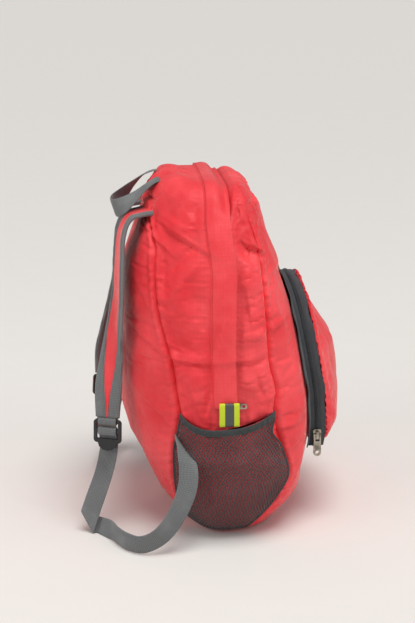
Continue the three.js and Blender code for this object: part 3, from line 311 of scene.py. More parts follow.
def flat_coordinates(grid):
    """Distances along the rows and columns of a grid, from its middle."""
    steps_u = np.linalg.norm(np.diff(grid, axis=1), axis=-1)
    steps_v = np.linalg.norm(np.diff(grid, axis=0), axis=-1)
    u = np.concatenate([np.zeros((len(grid), 1)), np.cumsum(steps_u, 1)], 1)
    v = np.concatenate([np.zeros((1, grid.shape[1])), np.cumsum(steps_v, 0)], 0)
    u = u - u[:, u.shape[1] // 2][:, None]
    return np.stack([u, v], -1)


def grid_normals(grid, inside=INSIDE):
    normal = unit(np.cross(np.gradient(grid, axis=1), np.gradient(grid, axis=0)))
    if np.sum(normal * (grid - inside)) < 0:
        normal = -normal
    return normal


FACET_JITTER = 0.27


def facet_field(flat, size, seed):
    """Heights of a sheet broken into flat facets with sharp folds between, from about -1 to 1."""
    random = np.random.default_rng(seed)
    spots = flat.reshape(-1, 2)
    low = spots.min(0) - size
    counts = np.ceil((spots.max(0) + size - low) / size).astype(int) + 1
    corner = np.stack(np.meshgrid(np.arange(counts[0]), np.arange(counts[1]), indexing="ij"), -1)
    place = low + (corner + random.uniform(-FACET_JITTER, FACET_JITTER, corner.shape)) * size
    height = random.uniform(-1, 1, counts)
    splits = (((0, 1, 2), (0, 2, 3)), ((1, 2, 3), (1, 3, 0)))
    out = np.zeros(len(spots))
    for i in range(counts[0] - 1):
        for j in range(counts[1] - 1):
            ring = ((i, j), (i + 1, j), (i + 1, j + 1), (i, j + 1))
            for corners in splits[int(random.integers(2))]:
                a, b, c = (place[ring[k]] for k in corners)
                ha, hb, hc = (height[ring[k]] for k in corners)
                least, most = np.minimum(np.minimum(a, b), c), np.maximum(np.maximum(a, b), c)
                near = np.flatnonzero(np.all((spots >= least) & (spots <= most), axis=1))
                if not len(near):
                    continue
                shares = np.linalg.solve(np.stack([b - a, c - a], 1), (spots[near] - a).T)
                within = (shares[0] >= -1e-6) & (shares[1] >= -1e-6) & (shares.sum(0) <= 1 + 1e-6)
                value = ha + shares[0] * (hb - ha) + shares[1] * (hc - ha)
                out[near[within]] = value[within]
    return out.reshape(flat.shape[:-1])


def doubled(grid):
    """The grid with a smooth point added between every two, along its rows and its columns."""
    for _ in range(2):
        ends = np.concatenate([2 * grid[:1] - grid[1:2], grid, 2 * grid[-1:] - grid[-2:-1]])
        between = (9 * (ends[1:-2] + ends[2:-1]) - ends[:-3] - ends[3:]) / 16
        finer = np.empty((2 * len(grid) - 1, *grid.shape[1:]))
        finer[::2] = grid
        finer[1::2] = between
        grid = np.swapaxes(finer, 0, 1)
    return grid


def edge_distances(grid):
    """Distances in the surface to the first and last column and the first and last row."""
    flat = flat_coordinates(grid)
    u, v = flat[..., 0], flat[..., 1]
    return {
        "first_column": (u - u[:, :1], v),
        "last_column": (u[:, -1:] - u, v),
        "first_row": (v, u),
        "last_row": (v[-1:] - v, u),
    }

EVERY_EDGE = ("first_column", "last_column", "first_row", "last_row")
SIDE_EDGES = ("first_column", "last_column")


def nearest_edge(grid, edges=EVERY_EDGE):
    return np.min([away for edge, (away, _) in edge_distances(grid).items() if edge in edges], axis=0)


SEAM_PINCH = 3.8
SEAM_PINCH_WIDTH = 2.2
SEAM_SHOULDER = 1.7
PUCKER_LENGTHS = (18.0, 11.5, 7.7)
PUCKER_REACH = 12.0


def seam_push(grid, seed, pucker, edges=EVERY_EDGE):
    """Push along the normal near sewn edges: a pinched valley with puckers running off it."""
    near = nearest_edge(grid, edges)
    push = SEAM_SHOULDER * np.exp(-(((near - 6.0) / 3.4) ** 2)) - SEAM_PINCH * np.exp(-near / SEAM_PINCH_WIDTH)
    for place, (away, along) in enumerate(edge_distances(grid).values()):
        wave = np.zeros_like(away)
        for k, length in enumerate(PUCKER_LENGTHS):
            phase = seed * 2.1 + place * 1.7 + k * 2.6
            drift = 1.6 * np.sin(along / (length * 3.1) + phase)
            wave += np.sin(2 * math.pi * along / length + phase + drift) / (k + 1.5)
        strength = 0.6 + 0.4 * np.sin(along / 37.0 + seed + place)
        push += pucker * strength * wave * np.exp(-away / PUCKER_REACH) * (1 - np.exp(-away / 2.0))
    return push


# Cloth simulation of one sewn panel held along its edges
SIM_SCALE = 10.0
SIM_FRAMES = 18


def swell(grid, held, growth, cap, inside=INSIDE):
    """A grid of cloth after its spare cloth has buckled between held points; cap is in millimetres."""
    obj = add_mesh("swelling", grid * SIM_SCALE, grid_faces(*grid.shape[:2]), RIPSTOP)
    face_out(obj, closed=False, inside=np.array(inside) * SIM_SCALE)
    held = np.round(held, 1)
    held[0] = held[-1] = 1
    held[:, 0] = held[:, -1] = 1
    group = obj.vertex_groups.new(name="held")
    for weight in np.unique(held):
        if weight > 0:
            group.add(np.flatnonzero(held.ravel() == weight).tolist(), float(weight), "REPLACE")
    cloth = obj.modifiers.new("cloth", "CLOTH")
    cloth.settings.quality = 5
    cloth.settings.mass = 0.15
    cloth.settings.tension_stiffness = 25
    cloth.settings.compression_stiffness = 25
    cloth.settings.shear_stiffness = 8
    cloth.settings.bending_stiffness = 0.12
    cloth.settings.air_damping = 4
    cloth.settings.vertex_group_mass = "held"
    cloth.settings.shrink_min = -growth
    cloth.settings.use_pressure = True
    cloth.settings.uniform_pressure_force = 1.0
    cloth.settings.effector_weights.gravity = 0
    cloth.collision_settings.use_collision = False
    cloth.collision_settings.use_self_collision = False
    cloth.point_cache.frame_end = SIM_FRAMES
    scene = bpy.context.scene
    for step in range(1, SIM_FRAMES + 1):
        scene.frame_set(step)
    evaluated = obj.evaluated_get(bpy.context.evaluated_depsgraph_get())
    moved = np.empty(grid.size)
    evaluated.data.vertices.foreach_get("co", moved)
    bpy.data.objects.remove(obj)
    scene.frame_set(1)
    shift = moved.reshape(grid.shape) / (SIM_SCALE * MM) - grid
    size = np.linalg.norm(shift, axis=-1, keepdims=True)
    return grid + shift * np.minimum(1, cap / np.maximum(size, 1e-9))


def subdivide(obj, level=1):
    smooth = obj.modifiers.new("smooth", "SUBSURF")
    smooth.levels = level
    smooth.render_levels = level
    smooth.boundary_smooth = "PRESERVE_CORNERS"
    return obj


def thicken(obj, thick, offset=-1.0):
    body = obj.modifiers.new("thickness", "SOLIDIFY")
    body.thickness = thick * MM
    body.offset = offset
    return obj


def dress(obj, slot, *nodes, body="bag"):
    """Rides a piece on its body and lets it stand for its CAD nodes."""
    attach(obj, body)
    if nodes:
        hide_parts(*nodes)
    return obj


# Materials
class Shader:
    """A node material with short ways to add and join nodes."""

    def __init__(self, name):
        self.material = bpy.data.materials.new(name)
        self.material.use_nodes = True
        self.tree = self.material.node_tree
        self.surface = self.tree.nodes["Principled BSDF"]

    def node(self, kind, **settings):
        made = self.tree.nodes.new(kind)
        for key, value in settings.items():
            setattr(made, key, value)
        return made

    def put(self, socket, value):
        if isinstance(value, bpy.types.NodeSocket):
            self.tree.links.new(value, socket)
        else:
            socket.default_value = value

    def math(self, operation, first, second=0.0, third=0.0):
        made = self.node("ShaderNodeMath", operation=operation)
        for socket, value in zip(made.inputs, (first, second, third)):
            self.put(socket, value)
        return made.outputs[0]

    def between(self, value, low, high, to_low=0.0, to_high=1.0):
        made = self.node("ShaderNodeMapRange", interpolation_type="SMOOTHSTEP")
        for key, item in zip(("Value", "From Min", "From Max", "To Min", "To Max"),
                             (value, low, high, to_low, to_high)):
            self.put(made.inputs[key], item)
        return made.outputs["Result"]

    def mix(self, share, first, second, blend="MIX"):
        made = self.node("ShaderNodeMix", data_type="RGBA", blend_type=blend)
        self.put(made.inputs["Factor"], share)
        self.put(made.inputs["A"], first)
        self.put(made.inputs["B"], second)
        return made.outputs["Result"]

    def cloth(self):
        """The weave's two flat coordinates in millimetres."""
        source = self.node("ShaderNodeAttribute", attribute_name="cloth")
        split = self.node("ShaderNodeSeparateXYZ")
        self.put(split.inputs[0], source.outputs["Vector"])
        return source.outputs["Vector"], split.outputs["X"], split.outputs["Y"]

    def place(self):
        """The point in the object, in metres."""
        return self.node("ShaderNodeTexCoord").outputs["Object"]

    def noise(self, vector, scale, detail=3.0, roughness=0.55):
        made = self.node("ShaderNodeTexNoise")
        self.put(made.inputs["Vector"], vector)
        self.put(made.inputs["Scale"], scale)
        self.put(made.inputs["Detail"], detail)
        self.put(made.inputs["Roughness"], roughness)
        return made.outputs["Fac"]

    def lines(self, coordinate, pitch, low, high):
        """Ridges at every pitch millimetres: 1 on the line, 0 between."""
        part = self.math("FRACT", self.math("DIVIDE", coordinate, pitch))
        off = self.math("ABSOLUTE", self.math("SUBTRACT", part, 0.5))
        return self.between(off, low, high)

    def wave(self, coordinate, pitch):
        return self.math("SINE", self.math("MULTIPLY", coordinate, 2 * math.pi / pitch))

    def bump(self, height, distance, strength=1.0, before=None):
        made = self.node("ShaderNodeBump")
        self.put(made.inputs["Height"], height)
        made.inputs["Strength"].default_value = strength
        made.inputs["Distance"].default_value = distance
        if before is not None:
            self.put(made.inputs["Normal"], before)
        return made.outputs["Normal"]

    def finish(self, colour, roughness, normal=None, **fixed):
        self.put(self.surface.inputs["Base Color"], colour)
        self.put(self.surface.inputs["Roughness"], roughness)
        if normal is not None:
            self.put(self.surface.inputs["Normal"], normal)
        for key, value in fixed.items():
            self.surface.inputs[key.replace("_", " ")].default_value = value
        return self.material

RIPSTOP_CELL = 4.0
THREAD_PITCH = 0.42


def ripstop(name, light, deep):
    """Thin nylon with a raised, slightly darker square grid and soft shine."""
    s = Shader(name)
    flat, u, v = s.cloth()
    across = s.lines(u, RIPSTOP_CELL, 0.40, 0.48)
    along = s.lines(v, RIPSTOP_CELL, 0.40, 0.48)
    grid = s.math("MAXIMUM", across, along)
    weave = s.math("MULTIPLY", s.wave(u, THREAD_PITCH), s.wave(v, THREAD_PITCH))
    place = s.place()
    patches = s.noise(place, 14.0, 4.0)
    cloud = s.noise(place, 55.0, 3.0)
    base = s.mix(s.between(patches, 0.35, 0.68), linear(deep), linear(light))
    base = s.mix(s.math("MULTIPLY", s.between(cloud, 0.4, 0.7), 0.25), base, linear(deep))
    base = s.mix(s.math("MULTIPLY", grid, 0.10), base, linear(tuple(c * 0.78 for c in deep)))
    rough = s.between(s.noise(place, 120.0), 0.3, 0.7, 0.46, 0.58)
    height = s.math("ADD", s.math("MULTIPLY", grid, 0.6), s.math("MULTIPLY", weave, 0.2))
    crinkle = s.bump(s.noise(place, 160.0, 4.0), 0.0012, 0.45)
    normal = s.bump(height, 0.00012, 0.7, crinkle)
    return s.finish(
        base, rough, normal, Specular_IOR_Level=0.42, Sheen_Weight=0.75, Sheen_Roughness=0.18,
        Sheen_Tint=linear((255, 205, 198)),
    )


def webbing(name, colour, rib=1.55, row=1.9):
    """Woven strap: ribs along it, a chevron of threads across and a fine fuzz over it."""
    s = Shader(name)
    flat, u, v = s.cloth()
    ribs = s.wave(u, rib)
    chevron = s.wave(s.math("ADD", v, s.math("MULTIPLY", s.math("ABSOLUTE", ribs), 0.6)), row)
    threads = s.math("ADD", s.math("MULTIPLY", ribs, 0.55), s.math("MULTIPLY", chevron, 0.45))
    place = s.place()
    fuzz = s.noise(place, 700.0, 2.0)
    worn = s.noise(place, 30.0, 4.0)
    dark = linear(tuple(c * 0.72 for c in colour))
    pale = linear(tuple(min(255, c * 1.16) for c in colour))
    base = s.mix(s.between(threads, -0.9, 0.9), dark, linear(colour))
    base = s.mix(s.math("MULTIPLY", s.between(worn, 0.45, 0.75), 0.4), base, pale)
    height = s.math("ADD", threads, s.math("MULTIPLY", fuzz, 0.8))
    return s.finish(
        base, s.between(fuzz, 0.3, 0.7, 0.72, 0.9), s.bump(height, 0.00022, 0.8),
        Specular_IOR_Level=0.25, Sheen_Weight=0.2, Sheen_Roughness=0.5,
    )


def spacer_mesh(name, colour):
    """Knitted mesh on the strap's inner face: small dark holes in rows."""
    s = Shader(name)
    flat, u, v = s.cloth()
    holes = s.node("ShaderNodeTexVoronoi", feature="F1")
    s.put(holes.inputs["Vector"], flat)
    holes.inputs["Scale"].default_value = 0.55
    holes.inputs["Randomness"].default_value = 0.15
    pit = s.between(holes.outputs["Distance"], 0.18, 0.42)
    base = s.mix(pit, linear(tuple(c * 0.35 for c in colour)), linear(colour))
    return s.finish(base, 0.9, s.bump(pit, 0.0005, 1.0), Specular_IOR_Level=0.15, Sheen_Weight=0.15)


def plastic(name, colour):
    s = Shader(name)
    place = s.place()
    grain = s.noise(place, 1800.0, 3.0)
    scuff = s.noise(place, 90.0, 5.0)
    base = s.mix(s.between(scuff, 0.5, 0.8), linear(colour), linear(tuple(c * 1.7 for c in colour)))
    rough = s.between(scuff, 0.35, 0.75, 0.36, 0.55)
    return s.finish(base, rough, s.bump(grain, 0.00006, 0.5), Specular_IOR_Level=0.5)


def metal(name, colour):
    s = Shader(name)
    place = s.place()
    scratch = s.noise(place, 900.0, 4.0, 0.7)
    tarnish = s.noise(place, 140.0, 4.0)
    base = s.mix(s.between(tarnish, 0.4, 0.75), linear(colour), linear(tuple(c * 0.62 for c in colour)))
    rough = s.between(scratch, 0.3, 0.75, 0.2, 0.42)
    return s.finish(base, rough, s.bump(scratch, 0.00003, 0.4), Metallic=1.0)

TAB_WIDTH = 21.0
TAB_STRIPE = 5.7


def reflective(name):
    """Neon ribbon with a grey glass-bead stripe along its middle, in a fine mesh of prisms."""
    s = Shader(name)
    flat, u, v = s.cloth()
    middle = s.between(s.math("ABSOLUTE", u), TAB_WIDTH / 2 - TAB_STRIPE - 0.2, TAB_WIDTH / 2 - TAB_STRIPE + 0.2)
    beads = s.math("MULTIPLY", s.wave(s.math("ADD", u, v), 0.9), s.wave(s.math("SUBTRACT", u, v), 0.9))
    threads = s.wave(v, 0.7)
    grey = s.mix(s.between(beads, -0.6, 0.6), linear(tuple(c * 0.8 for c in TAB_GREY)), linear(TAB_GREY))
    neon = s.mix(s.between(threads, -0.8, 0.8), linear(tuple(c * 0.86 for c in NEON)), linear(NEON))
    base = s.mix(middle, grey, neon)
    rough = s.between(middle, 0.0, 1.0, 0.28, 0.62)
    height = s.math("ADD", s.math("MULTIPLY", beads, 0.5), s.math("MULTIPLY", threads, 0.5))
    return s.finish(base, rough, s.bump(height, 0.00008, 0.8), Specular_IOR_Level=0.5)


def paper(name, colour):
    s = Shader(name)
    place = s.place()
    speck = s.noise(place, 18.0, 3.0)
    pale = linear(colour)
    base = s.mix(s.math("MULTIPLY", s.between(speck, 0.35, 0.7), 0.25), pale, linear(tuple(c * 0.985 for c in colour)))
    return s.finish(base, 0.75, s.bump(s.noise(place, 260.0), 0.0002, 0.15), Specular_IOR_Level=0.15)

RIPSTOP = ripstop("red_ripstop", RED, RED_DEEP)
WEBBING = webbing("grey_webbing", GREY_WEB)
TAPE = webbing("slate_zip_tape", GREY_TAPE, 0.9, 1.1)
BAND = webbing("dark_binding", GREY_BAND, 1.1, 1.3)
THREAD = webbing("sewing_thread", (196, 48, 54), 0.4, 0.6)
NET = webbing("net_strand", NET_DARK, 0.5, 0.5)
INNER_MESH = spacer_mesh("strap_mesh", MESH_DARK)
PLASTIC = plastic("black_plastic", BLACK_PLASTIC)
METAL = metal("nickel", NICKEL)
REFLECTIVE = reflective("reflective_ribbon")
FLOOR = paper("pale_paper", (226, 223, 219))

# Panels of the bag
CELL = 2.7
UNDER_FLAP = (15.0, 25.0)
FLAP_OFFSET = 4.0


def steps(length):
    return max(2, int(round(length / CELL)))


def seam_angles(z):
    return (
        float(angle_at(profile("back_seam", z), z)),
        float(angle_at(profile("zip", z), z)),
        float(angle_at(profile("front_seam", z), z)),
    )


def side_angle_table(counts):
    """Angles of the side panel's columns, evenly spaced along each level, for a ladder of heights."""
    heights = np.linspace(0, TOP_EDGE_Z, 92)
    table = []
    for z in heights:
        stops = seam_angles(z)
        row = []
        for first, last, count in zip(stops, stops[1:], counts):
            fine = np.linspace(first, last, 400)
            line = bag_point(fine, z)
            length = np.concatenate([[0], np.cumsum(np.linalg.norm(np.diff(line, axis=0), axis=1))])
            part = np.interp(np.linspace(0, length[-1], count + 1), length, fine)
            row.append(part if not row else part[1:])
        table.append(np.concatenate(row))
    return heights, np.array(table)

SPLIT_BLEND = 60.0
SPLIT_OVER_POCKET = 3.0


def side_levels(heights, counts):
    """Rows of the left side panel from back seam over the zip line to front seam.

    Near the seam between the upper and the lower gusset the rows follow the pocket's dipping edge.
    """
    ladder, table = side_angle_table(counts)
    columns = sum(counts) + 1
    dip = pocket_top(np.linspace(0, 1, columns)) + SPLIT_OVER_POCKET - SPLIT_Z
    near = 1 - smoothstep(np.abs(heights - SPLIT_Z), 0, SPLIT_BLEND)
    z = heights[:, None] + dip[None] * near[:, None]
    angle = np.stack([np.interp(z[:, k], ladder, table[:, k]) for k in range(columns)], 1)
    return bag_point(angle, z)


def cap_patch(left, right, back, front):
    """Coons patch in plan between four edges that meet at its corners; rows run left to right."""
    u = np.linspace(0, 1, len(back))[:, None, None]
    w = np.linspace(0, 1, len(left))[None, :, None]
    corners = (
        (1 - u) * (1 - w) * left[0] + (1 - u) * w * left[-1]
        + u * (1 - w) * right[0] + u * w * right[-1]
    )
    return (1 - w) * back[:, None] + w * front[:, None] + (1 - u) * left[None] + u * right[None] - corners


def ring_share(points, ring, centre_y):
    """How far points seen from above lie from a centre towards a closed ring: 1 is on it."""
    offset = ring[:, :2] - np.array((0, centre_y))
    ring_angle = np.arctan2(offset[:, 1], offset[:, 0])
    order = np.argsort(ring_angle)
    radius = np.linalg.norm(offset, axis=1)[order]
    seen = points[..., :2] - np.array((0, centre_y))
    angle = np.arctan2(seen[..., 1], seen[..., 0])
    edge = np.interp(angle, ring_angle[order], radius, period=2 * math.pi)
    return np.linalg.norm(seen, axis=-1) / edge


def eased_edge(z, first, last, count):
    """Level curve with points closer together towards its two ends."""
    fine = even_curve(bag_point(np.linspace(first, last, 900), z), 900)
    share = 0.5 - 0.5 * np.cos(np.linspace(0, math.pi, count))
    share = 0.5 * share + 0.5 * np.linspace(0, 1, count)
    return np.stack([np.interp(share, np.linspace(0, 1, 900), fine[:, k]) for k in range(3)], -1)


def arch_grid(heights, edge_z, counts, middle_rows, height_of):
    """A band up the left side, over (or under) the middle and down the right side."""
    left = side_levels(heights, counts)
    right = (left * np.array((-1, 1, 1)))[::-1]
    back_angle, _, front_angle = seam_angles(edge_z)
    back = eased_edge(edge_z, back_angle, -back_angle, middle_rows)
    front = eased_edge(edge_z, front_angle, 2 * math.pi - front_angle, middle_rows)
    middle = cap_patch(left[-1], right[0], back, front)
    ring = bag_point(np.linspace(0, 2 * math.pi, 720, endpoint=False), edge_z)
    middle[..., 2] = height_of(middle, ring)
    return np.concatenate([left, middle[1:-1], right])


def top_height(points, ring):
    share = ring_share(points, ring, TOP_CENTRE_Y)
    rise = TOP_CROWN + TOP_TILT * (points[..., 1] - TOP_CENTRE_Y)
    return TOP_EDGE_Z + rise * (1 - np.clip(share, 0, 1) ** TOP_SQUARENESS)


def base_height(points, ring):
    share = ring_share(points, ring, BASE_CENTRE_Y)
    return BASE_EDGE_Z * np.clip((share - BASE_FLAT_SHARE) / (1 - BASE_FLAT_SHARE), 0, 1) ** 2

TOP_RELIEF = ((-15.0, 5.5, -7.5), (-31.0, 9.0, 4.5), (47.0, 11.0, 3.0))


def top_relief(points):
    """Notch along the flap's sewn edge, the lobe in front of it and the squarer corner at the back."""
    y = points[..., 1]
    push = sum(rise * np.exp(-(((y - middle) / width) ** 2)) for middle, width, rise in TOP_RELIEF)
    return push * smoothstep(points[..., 2], 345, 372)


FACET_SIZES = ((46.0, 7.2), (20.0, 3.0), (10.0, 0.6))


def crumple(flat, seed):
    """Crumpled cloth as facets of three sizes, in millimetres."""
    return sum(high * facet_field(flat, size, seed + k) for k, (size, high) in enumerate(FACET_SIZES))


def eased_in(grid, inset):
    """The grid with the top's relief, drawn in so that it has room to swell."""
    push = top_relief(grid) - inset * smoothstep(nearest_edge(grid), 0, 30)
    return grid + grid_normals(grid) * push[..., None]


def calm_corners(points):
    """Less than 1 where three panels meet at the corners of the top."""
    back_angle, _, front_angle = seam_angles(TOP_EDGE_Z)
    calm = np.ones(points.shape[:-1])
    for angle in (back_angle, front_angle):
        for side in (LEFT, RIGHT):
            corner = bag_point(angle, TOP_EDGE_Z) * np.array((-side, 1, 1))
            calm *= 1 - 0.95 * np.exp(-((np.linalg.norm(points - corner, axis=-1) / 18.0) ** 2))
    return calm


def cloth_push(grid, seed, rumple, pucker, quiet, edges=EVERY_EDGE):
    """Push of creases, sewn edges and crumples along the normal, for the grid made twice as fine."""
    fine = doubled(grid)
    quiet = doubled(np.broadcast_to(quiet, grid.shape[:2]).astype(float))
    loose = rumple * quiet * crumple(flat_coordinates(fine), seed)
    loose = loose * smoothstep(nearest_edge(fine), 0, 12)
    loose = loose * (1 - 0.5 * smoothstep(fine[..., 2], 366, 374))
    return (crease_depth(fine) + seam_push(fine, seed, pucker, edges) + loose) * calm_corners(fine)


SEAM_BLEND = 7.0


def push_directions(grid):
    """Normals of the grid, turned near its edges to the direction that both panels of a seam share."""
    middle = np.zeros_like(grid)
    middle[..., 1] = TOP_CENTRE_Y
    middle[..., 2] = np.clip(grid[..., 2], 60, 300)
    share = np.exp(-((nearest_edge(grid) / SEAM_BLEND) ** 2))[..., None]
    return unit(grid_normals(grid) * (1 - share) + unit(grid - middle) * share)


FLOOR_GAP = 0.05


def panel(name, grid, push, flat, nodes, growth=0.0, cap=0.0, held=None):
    """A sewn panel: swollen by simulation where it has spare cloth, then creased and crumpled."""
    if growth:
        if held is None:
            held = np.zeros(grid.shape[:2])
        grid = swell(grid, held, growth, cap)
    fine = doubled(grid)
    fine = fine + push_directions(fine) * push[..., None]
    fine[..., 2] = np.maximum(fine[..., 2], FLOOR_GAP)
    obj = add_mesh(name, fine, grid_faces(*fine.shape[:2]), RIPSTOP, flat)
    face_out(obj, closed=False, inside=INSIDE)
    return dress(obj, "cloth", *nodes)

SIDE_HEIGHTS = np.linspace(BASE_EDGE_Z, TOP_EDGE_Z, steps(TOP_EDGE_Z))


def back_and_front():
    back_rows, front_rows = [], []
    for z in SIDE_HEIGHTS:
        back_angle, _, front_angle = seam_angles(z)
        back_rows.append(level_curve(z, (-back_angle, back_angle), (steps(262),)))
        front_rows.append(level_curve(z, (front_angle, 2 * math.pi - front_angle), (steps(280),)))
    back, front = np.stack(back_rows), np.stack(front_rows)
    low = smoothstep(back[..., 2], 0, 40)
    inset = 3.0 * (1 - smoothstep(back[..., 2], 235, 295))
    pocket = smoothstep(np.abs(front[..., 0]), 88, 112) + smoothstep(np.abs(front[..., 2] - 175), 100, 125)
    pocket = np.clip(pocket, 0.1, 1)
    back_panel = panel(
        "back_cloth", eased_in(back, inset), cloth_push(back, 3, 0.34, 1.4, low),
        flat_coordinates(doubled(back)), ("back_panel",), 0.014, 3.5,
    )
    front_panel = panel(
        "front_cloth", eased_in(front, 2.0), cloth_push(front, 6, 0.55, 1.8, pocket * low[:, :1]),
        flat_coordinates(doubled(front)), ("front_panel",), 0.016, 3.5, 0.8 * (1 - pocket),
    )


def near_zip(grid):
    """0 under the storm flap and 1 away from it, for points of the zip gusset."""
    level = grid[..., 2]
    zip_y = np.where(level >= TOP_EDGE_Z, TOP_CENTRE_Y, profile("zip", level))
    return smoothstep(np.abs(grid[..., 1] - zip_y - FLAP_OFFSET - flap_shift(level)), *UNDER_FLAP)


def zip_gussets():
    heights = np.linspace(SPLIT_Z, TOP_EDGE_Z, steps(TOP_EDGE_Z - SPLIT_Z))
    counts = (steps(64), steps(46))
    grid = arch_grid(heights, TOP_EDGE_Z, counts, steps(230), top_height)
    free = near_zip(grid) * smoothstep(np.hypot(grid[..., 1] + 28, grid[..., 2] - 160), 9, 24)
    shaped = eased_in(grid, 1.5)
    push = cloth_push(grid, 11, 1.0, 1.6, 0.1 + 0.9 * free, SIDE_EDGES)
    flat = flat_coordinates(doubled(grid))
    hold = 0.9 * (1 - free)
    cut = counts[0]
    for name, coarse, fine in (
        ("zip_gusset_back", np.s_[:, :cut + 1], np.s_[:, :2 * cut + 1]),
        ("zip_gusset_front", np.s_[:, cut:], np.s_[:, 2 * cut:]),
    ):
        panel(f"{name}_cloth", shaped[coarse], push[fine], flat[fine], (name,),
                            0.016, 4.0, hold[coarse])


def base_gusset():
    heights = np.linspace(SPLIT_Z, BASE_EDGE_Z, steps(SPLIT_Z - BASE_EDGE_Z))
    grid = arch_grid(heights, BASE_EDGE_Z, (steps(56), steps(60)), steps(220), base_height)
    low = smoothstep(grid[..., 2], 3, 30)
    obj = panel("base_gusset_cloth", eased_in(grid, 0.8), cloth_push(grid, 17, 0.25, 0.6, low, SIDE_EDGES),
                flat_coordinates(doubled(grid)), ("base_gusset",))


# Strips sewn along the zip
FLAP_TOP_SHIFT = 12.0


def flap_shift(z):
    """How far the flap and zip lean to the back of the zip's line, more towards the top."""
    return FLAP_TOP_SHIFT * smoothstep(z, 290, 366)


def arch_path(offset, width, lift, first_z, count_across):
    """Grid of a strip along the main zip, with lift given by share across and row."""
    shares = np.linspace(-0.5, 0.5, count_across)
    heights = np.linspace(first_z, TOP_EDGE_Z, steps(TOP_EDGE_Z - first_z))

    def side_rows(mirror):
        rows = []
        for z in heights:
            y = profile("zip", z) + offset + flap_shift(z) + shares * width
            level = np.full_like(y, z)
            relief = top_relief(np.stack([y, y, level], -1))
            rows.append(side_point(y, level, lift(shares, z) + relief, mirror))
        return np.stack(rows)

    ring = bag_point(np.linspace(0, 2 * math.pi, 720, endpoint=False), TOP_EDGE_Z)
    reach = abs(float(bag_point(angle_at(TOP_CENTRE_Y, TOP_EDGE_Z), TOP_EDGE_Z)[0])) * 0.94
    middle = []
    for x in -reach * np.cos(np.linspace(0, math.pi, steps(250))):
        y = TOP_CENTRE_Y + offset + FLAP_TOP_SHIFT + shares * width
        flat = np.stack([np.full_like(y, x), y, np.zeros_like(y)], -1)
        spots = []
        for dx, dy in ((0, 0), (0.5, 0), (-0.5, 0), (0, 0.5), (0, -0.5)):
            near = flat + np.array((dx, dy, 0))
            spots.append(top_height(near, ring))
        normal = unit(np.stack([spots[2] - spots[1], spots[4] - spots[3], np.ones_like(y)], -1))
        flat[..., 2] = spots[0]
        rise = lift(shares, TOP_EDGE_Z + 20) + top_relief(flat)
        middle.append(flat + normal * rise[:, None])
    return np.concatenate([side_rows(LEFT), np.stack(middle), side_rows(RIGHT)[::-1]])


def flap_lift(shares, z):
    """Sewn down into the cloth along its back edge, free and a little raised along its front edge."""
    free = 0.5 - shares
    lip = (0.9 + 0.5 * smoothstep(z, 250, 370)) * free**4
    ripple = 0.5 * free * math.sin(z / 17.0) + 0.3 * free * math.sin(z / 6.3 + 1)
    return -1.5 + 2.6 * smoothstep(free, 0, 0.09) + 2.1 * smoothstep(free, 0.05, 0.45) + lip + ripple


def storm_flap():
    grid = arch_path(FLAP_OFFSET, 27.0, flap_lift, 156.0, 13)
    obj = add_mesh("storm_flap", grid, grid_faces(*grid.shape[:2]), RIPSTOP, flat_coordinates(grid))
    face_out(obj, closed=False, inside=INSIDE)
    thicken(obj, 0.8)
    subdivide(obj)
    dress(obj, "cloth", "zip_flap")
    tape = arch_path(0.0, 16.0, lambda shares, z: np.full_like(shares, -0.4), 156.0, 5)
    zip_tape = add_mesh("main_zip_tape", tape, grid_faces(*tape.shape[:2]), TAPE, flat_coordinates(tape))
    face_out(zip_tape, closed=False, inside=INSIDE)
    thicken(zip_tape, 0.9)
    dress(zip_tape, "tape", "main_zip")
    stitch_line("flap_stitches", grid[:, -2], grid_normals(grid)[:, -2], 0.25, THREAD, "cloth")
    return grid


def stitch_line(name, path, normals, lift, material, slot, pitch=3.0, length=2.1, radius=0.22):
    """A row of short stitches along a path, each a small closed spindle of thread."""
    steps_along = np.linalg.norm(np.diff(path, axis=0), axis=1)
    total = np.concatenate([[0], np.cumsum(steps_along)])
    starts = np.arange(0.6, total[-1] - length, pitch)
    ring = np.linspace(0, 2 * math.pi, 5, endpoint=False)
    points, faces = [], []

    def at(distance, rows):
        return np.array([np.interp(distance, total, rows[:, k]) for k in range(3)])

    for begin in starts:
        ends = [at(begin + share * length, path) for share in (0, 0.25, 0.75, 1)]
        up = unit(at(begin + length / 2, normals))
        along = unit(ends[-1] - ends[0])
        side = np.cross(along, up)
        first = len(points)
        for share, end in zip((0.35, 1, 1, 0.35), ends):
            rise = lift * (1 if share == 1 else 0.2)
            for angle in ring:
                points.append(end + up * (rise + radius * share * math.sin(angle)) + side * radius * share * math.cos(angle))
        faces.extend(grid_faces(4, 5, first, around=True))
        faces.append([first + k for k in reversed(range(5))])
        faces.append([first + 15 + k for k in range(5)])
    obj = add_mesh(name, np.array(points), faces, material, np.zeros((len(points), 2)))
    return dress(face_out(obj), slot)


# Side net pockets
POCKET_TOP_Z = 145.0
POCKET_DIP = 17.0
POCKET_DIP_SKEW = 0.8
POCKET_BOTTOM_Z = 9.0
POCKET_EDGE_LIFT = 1.9
POCKET_BULGE = 7.5
POCKET_BASE_BULGE = 0.25
BINDING_HEIGHT = 6.5
NET_CELL = (3.5, 5.4)
NET_STRAND = 1.35
# Folds of the net: height, drop from back to front, width and push
NET_FOLDS = ((99.0, 14.0, 6.0, 3.6), (116.0, 6.0, 8.0, -2.6), (80.0, 10.0, 11.0, -1.6))


def pocket_top(w):
    return POCKET_TOP_Z - POCKET_DIP * np.sin(math.pi * np.clip(w, 0, 1) ** POCKET_DIP_SKEW)


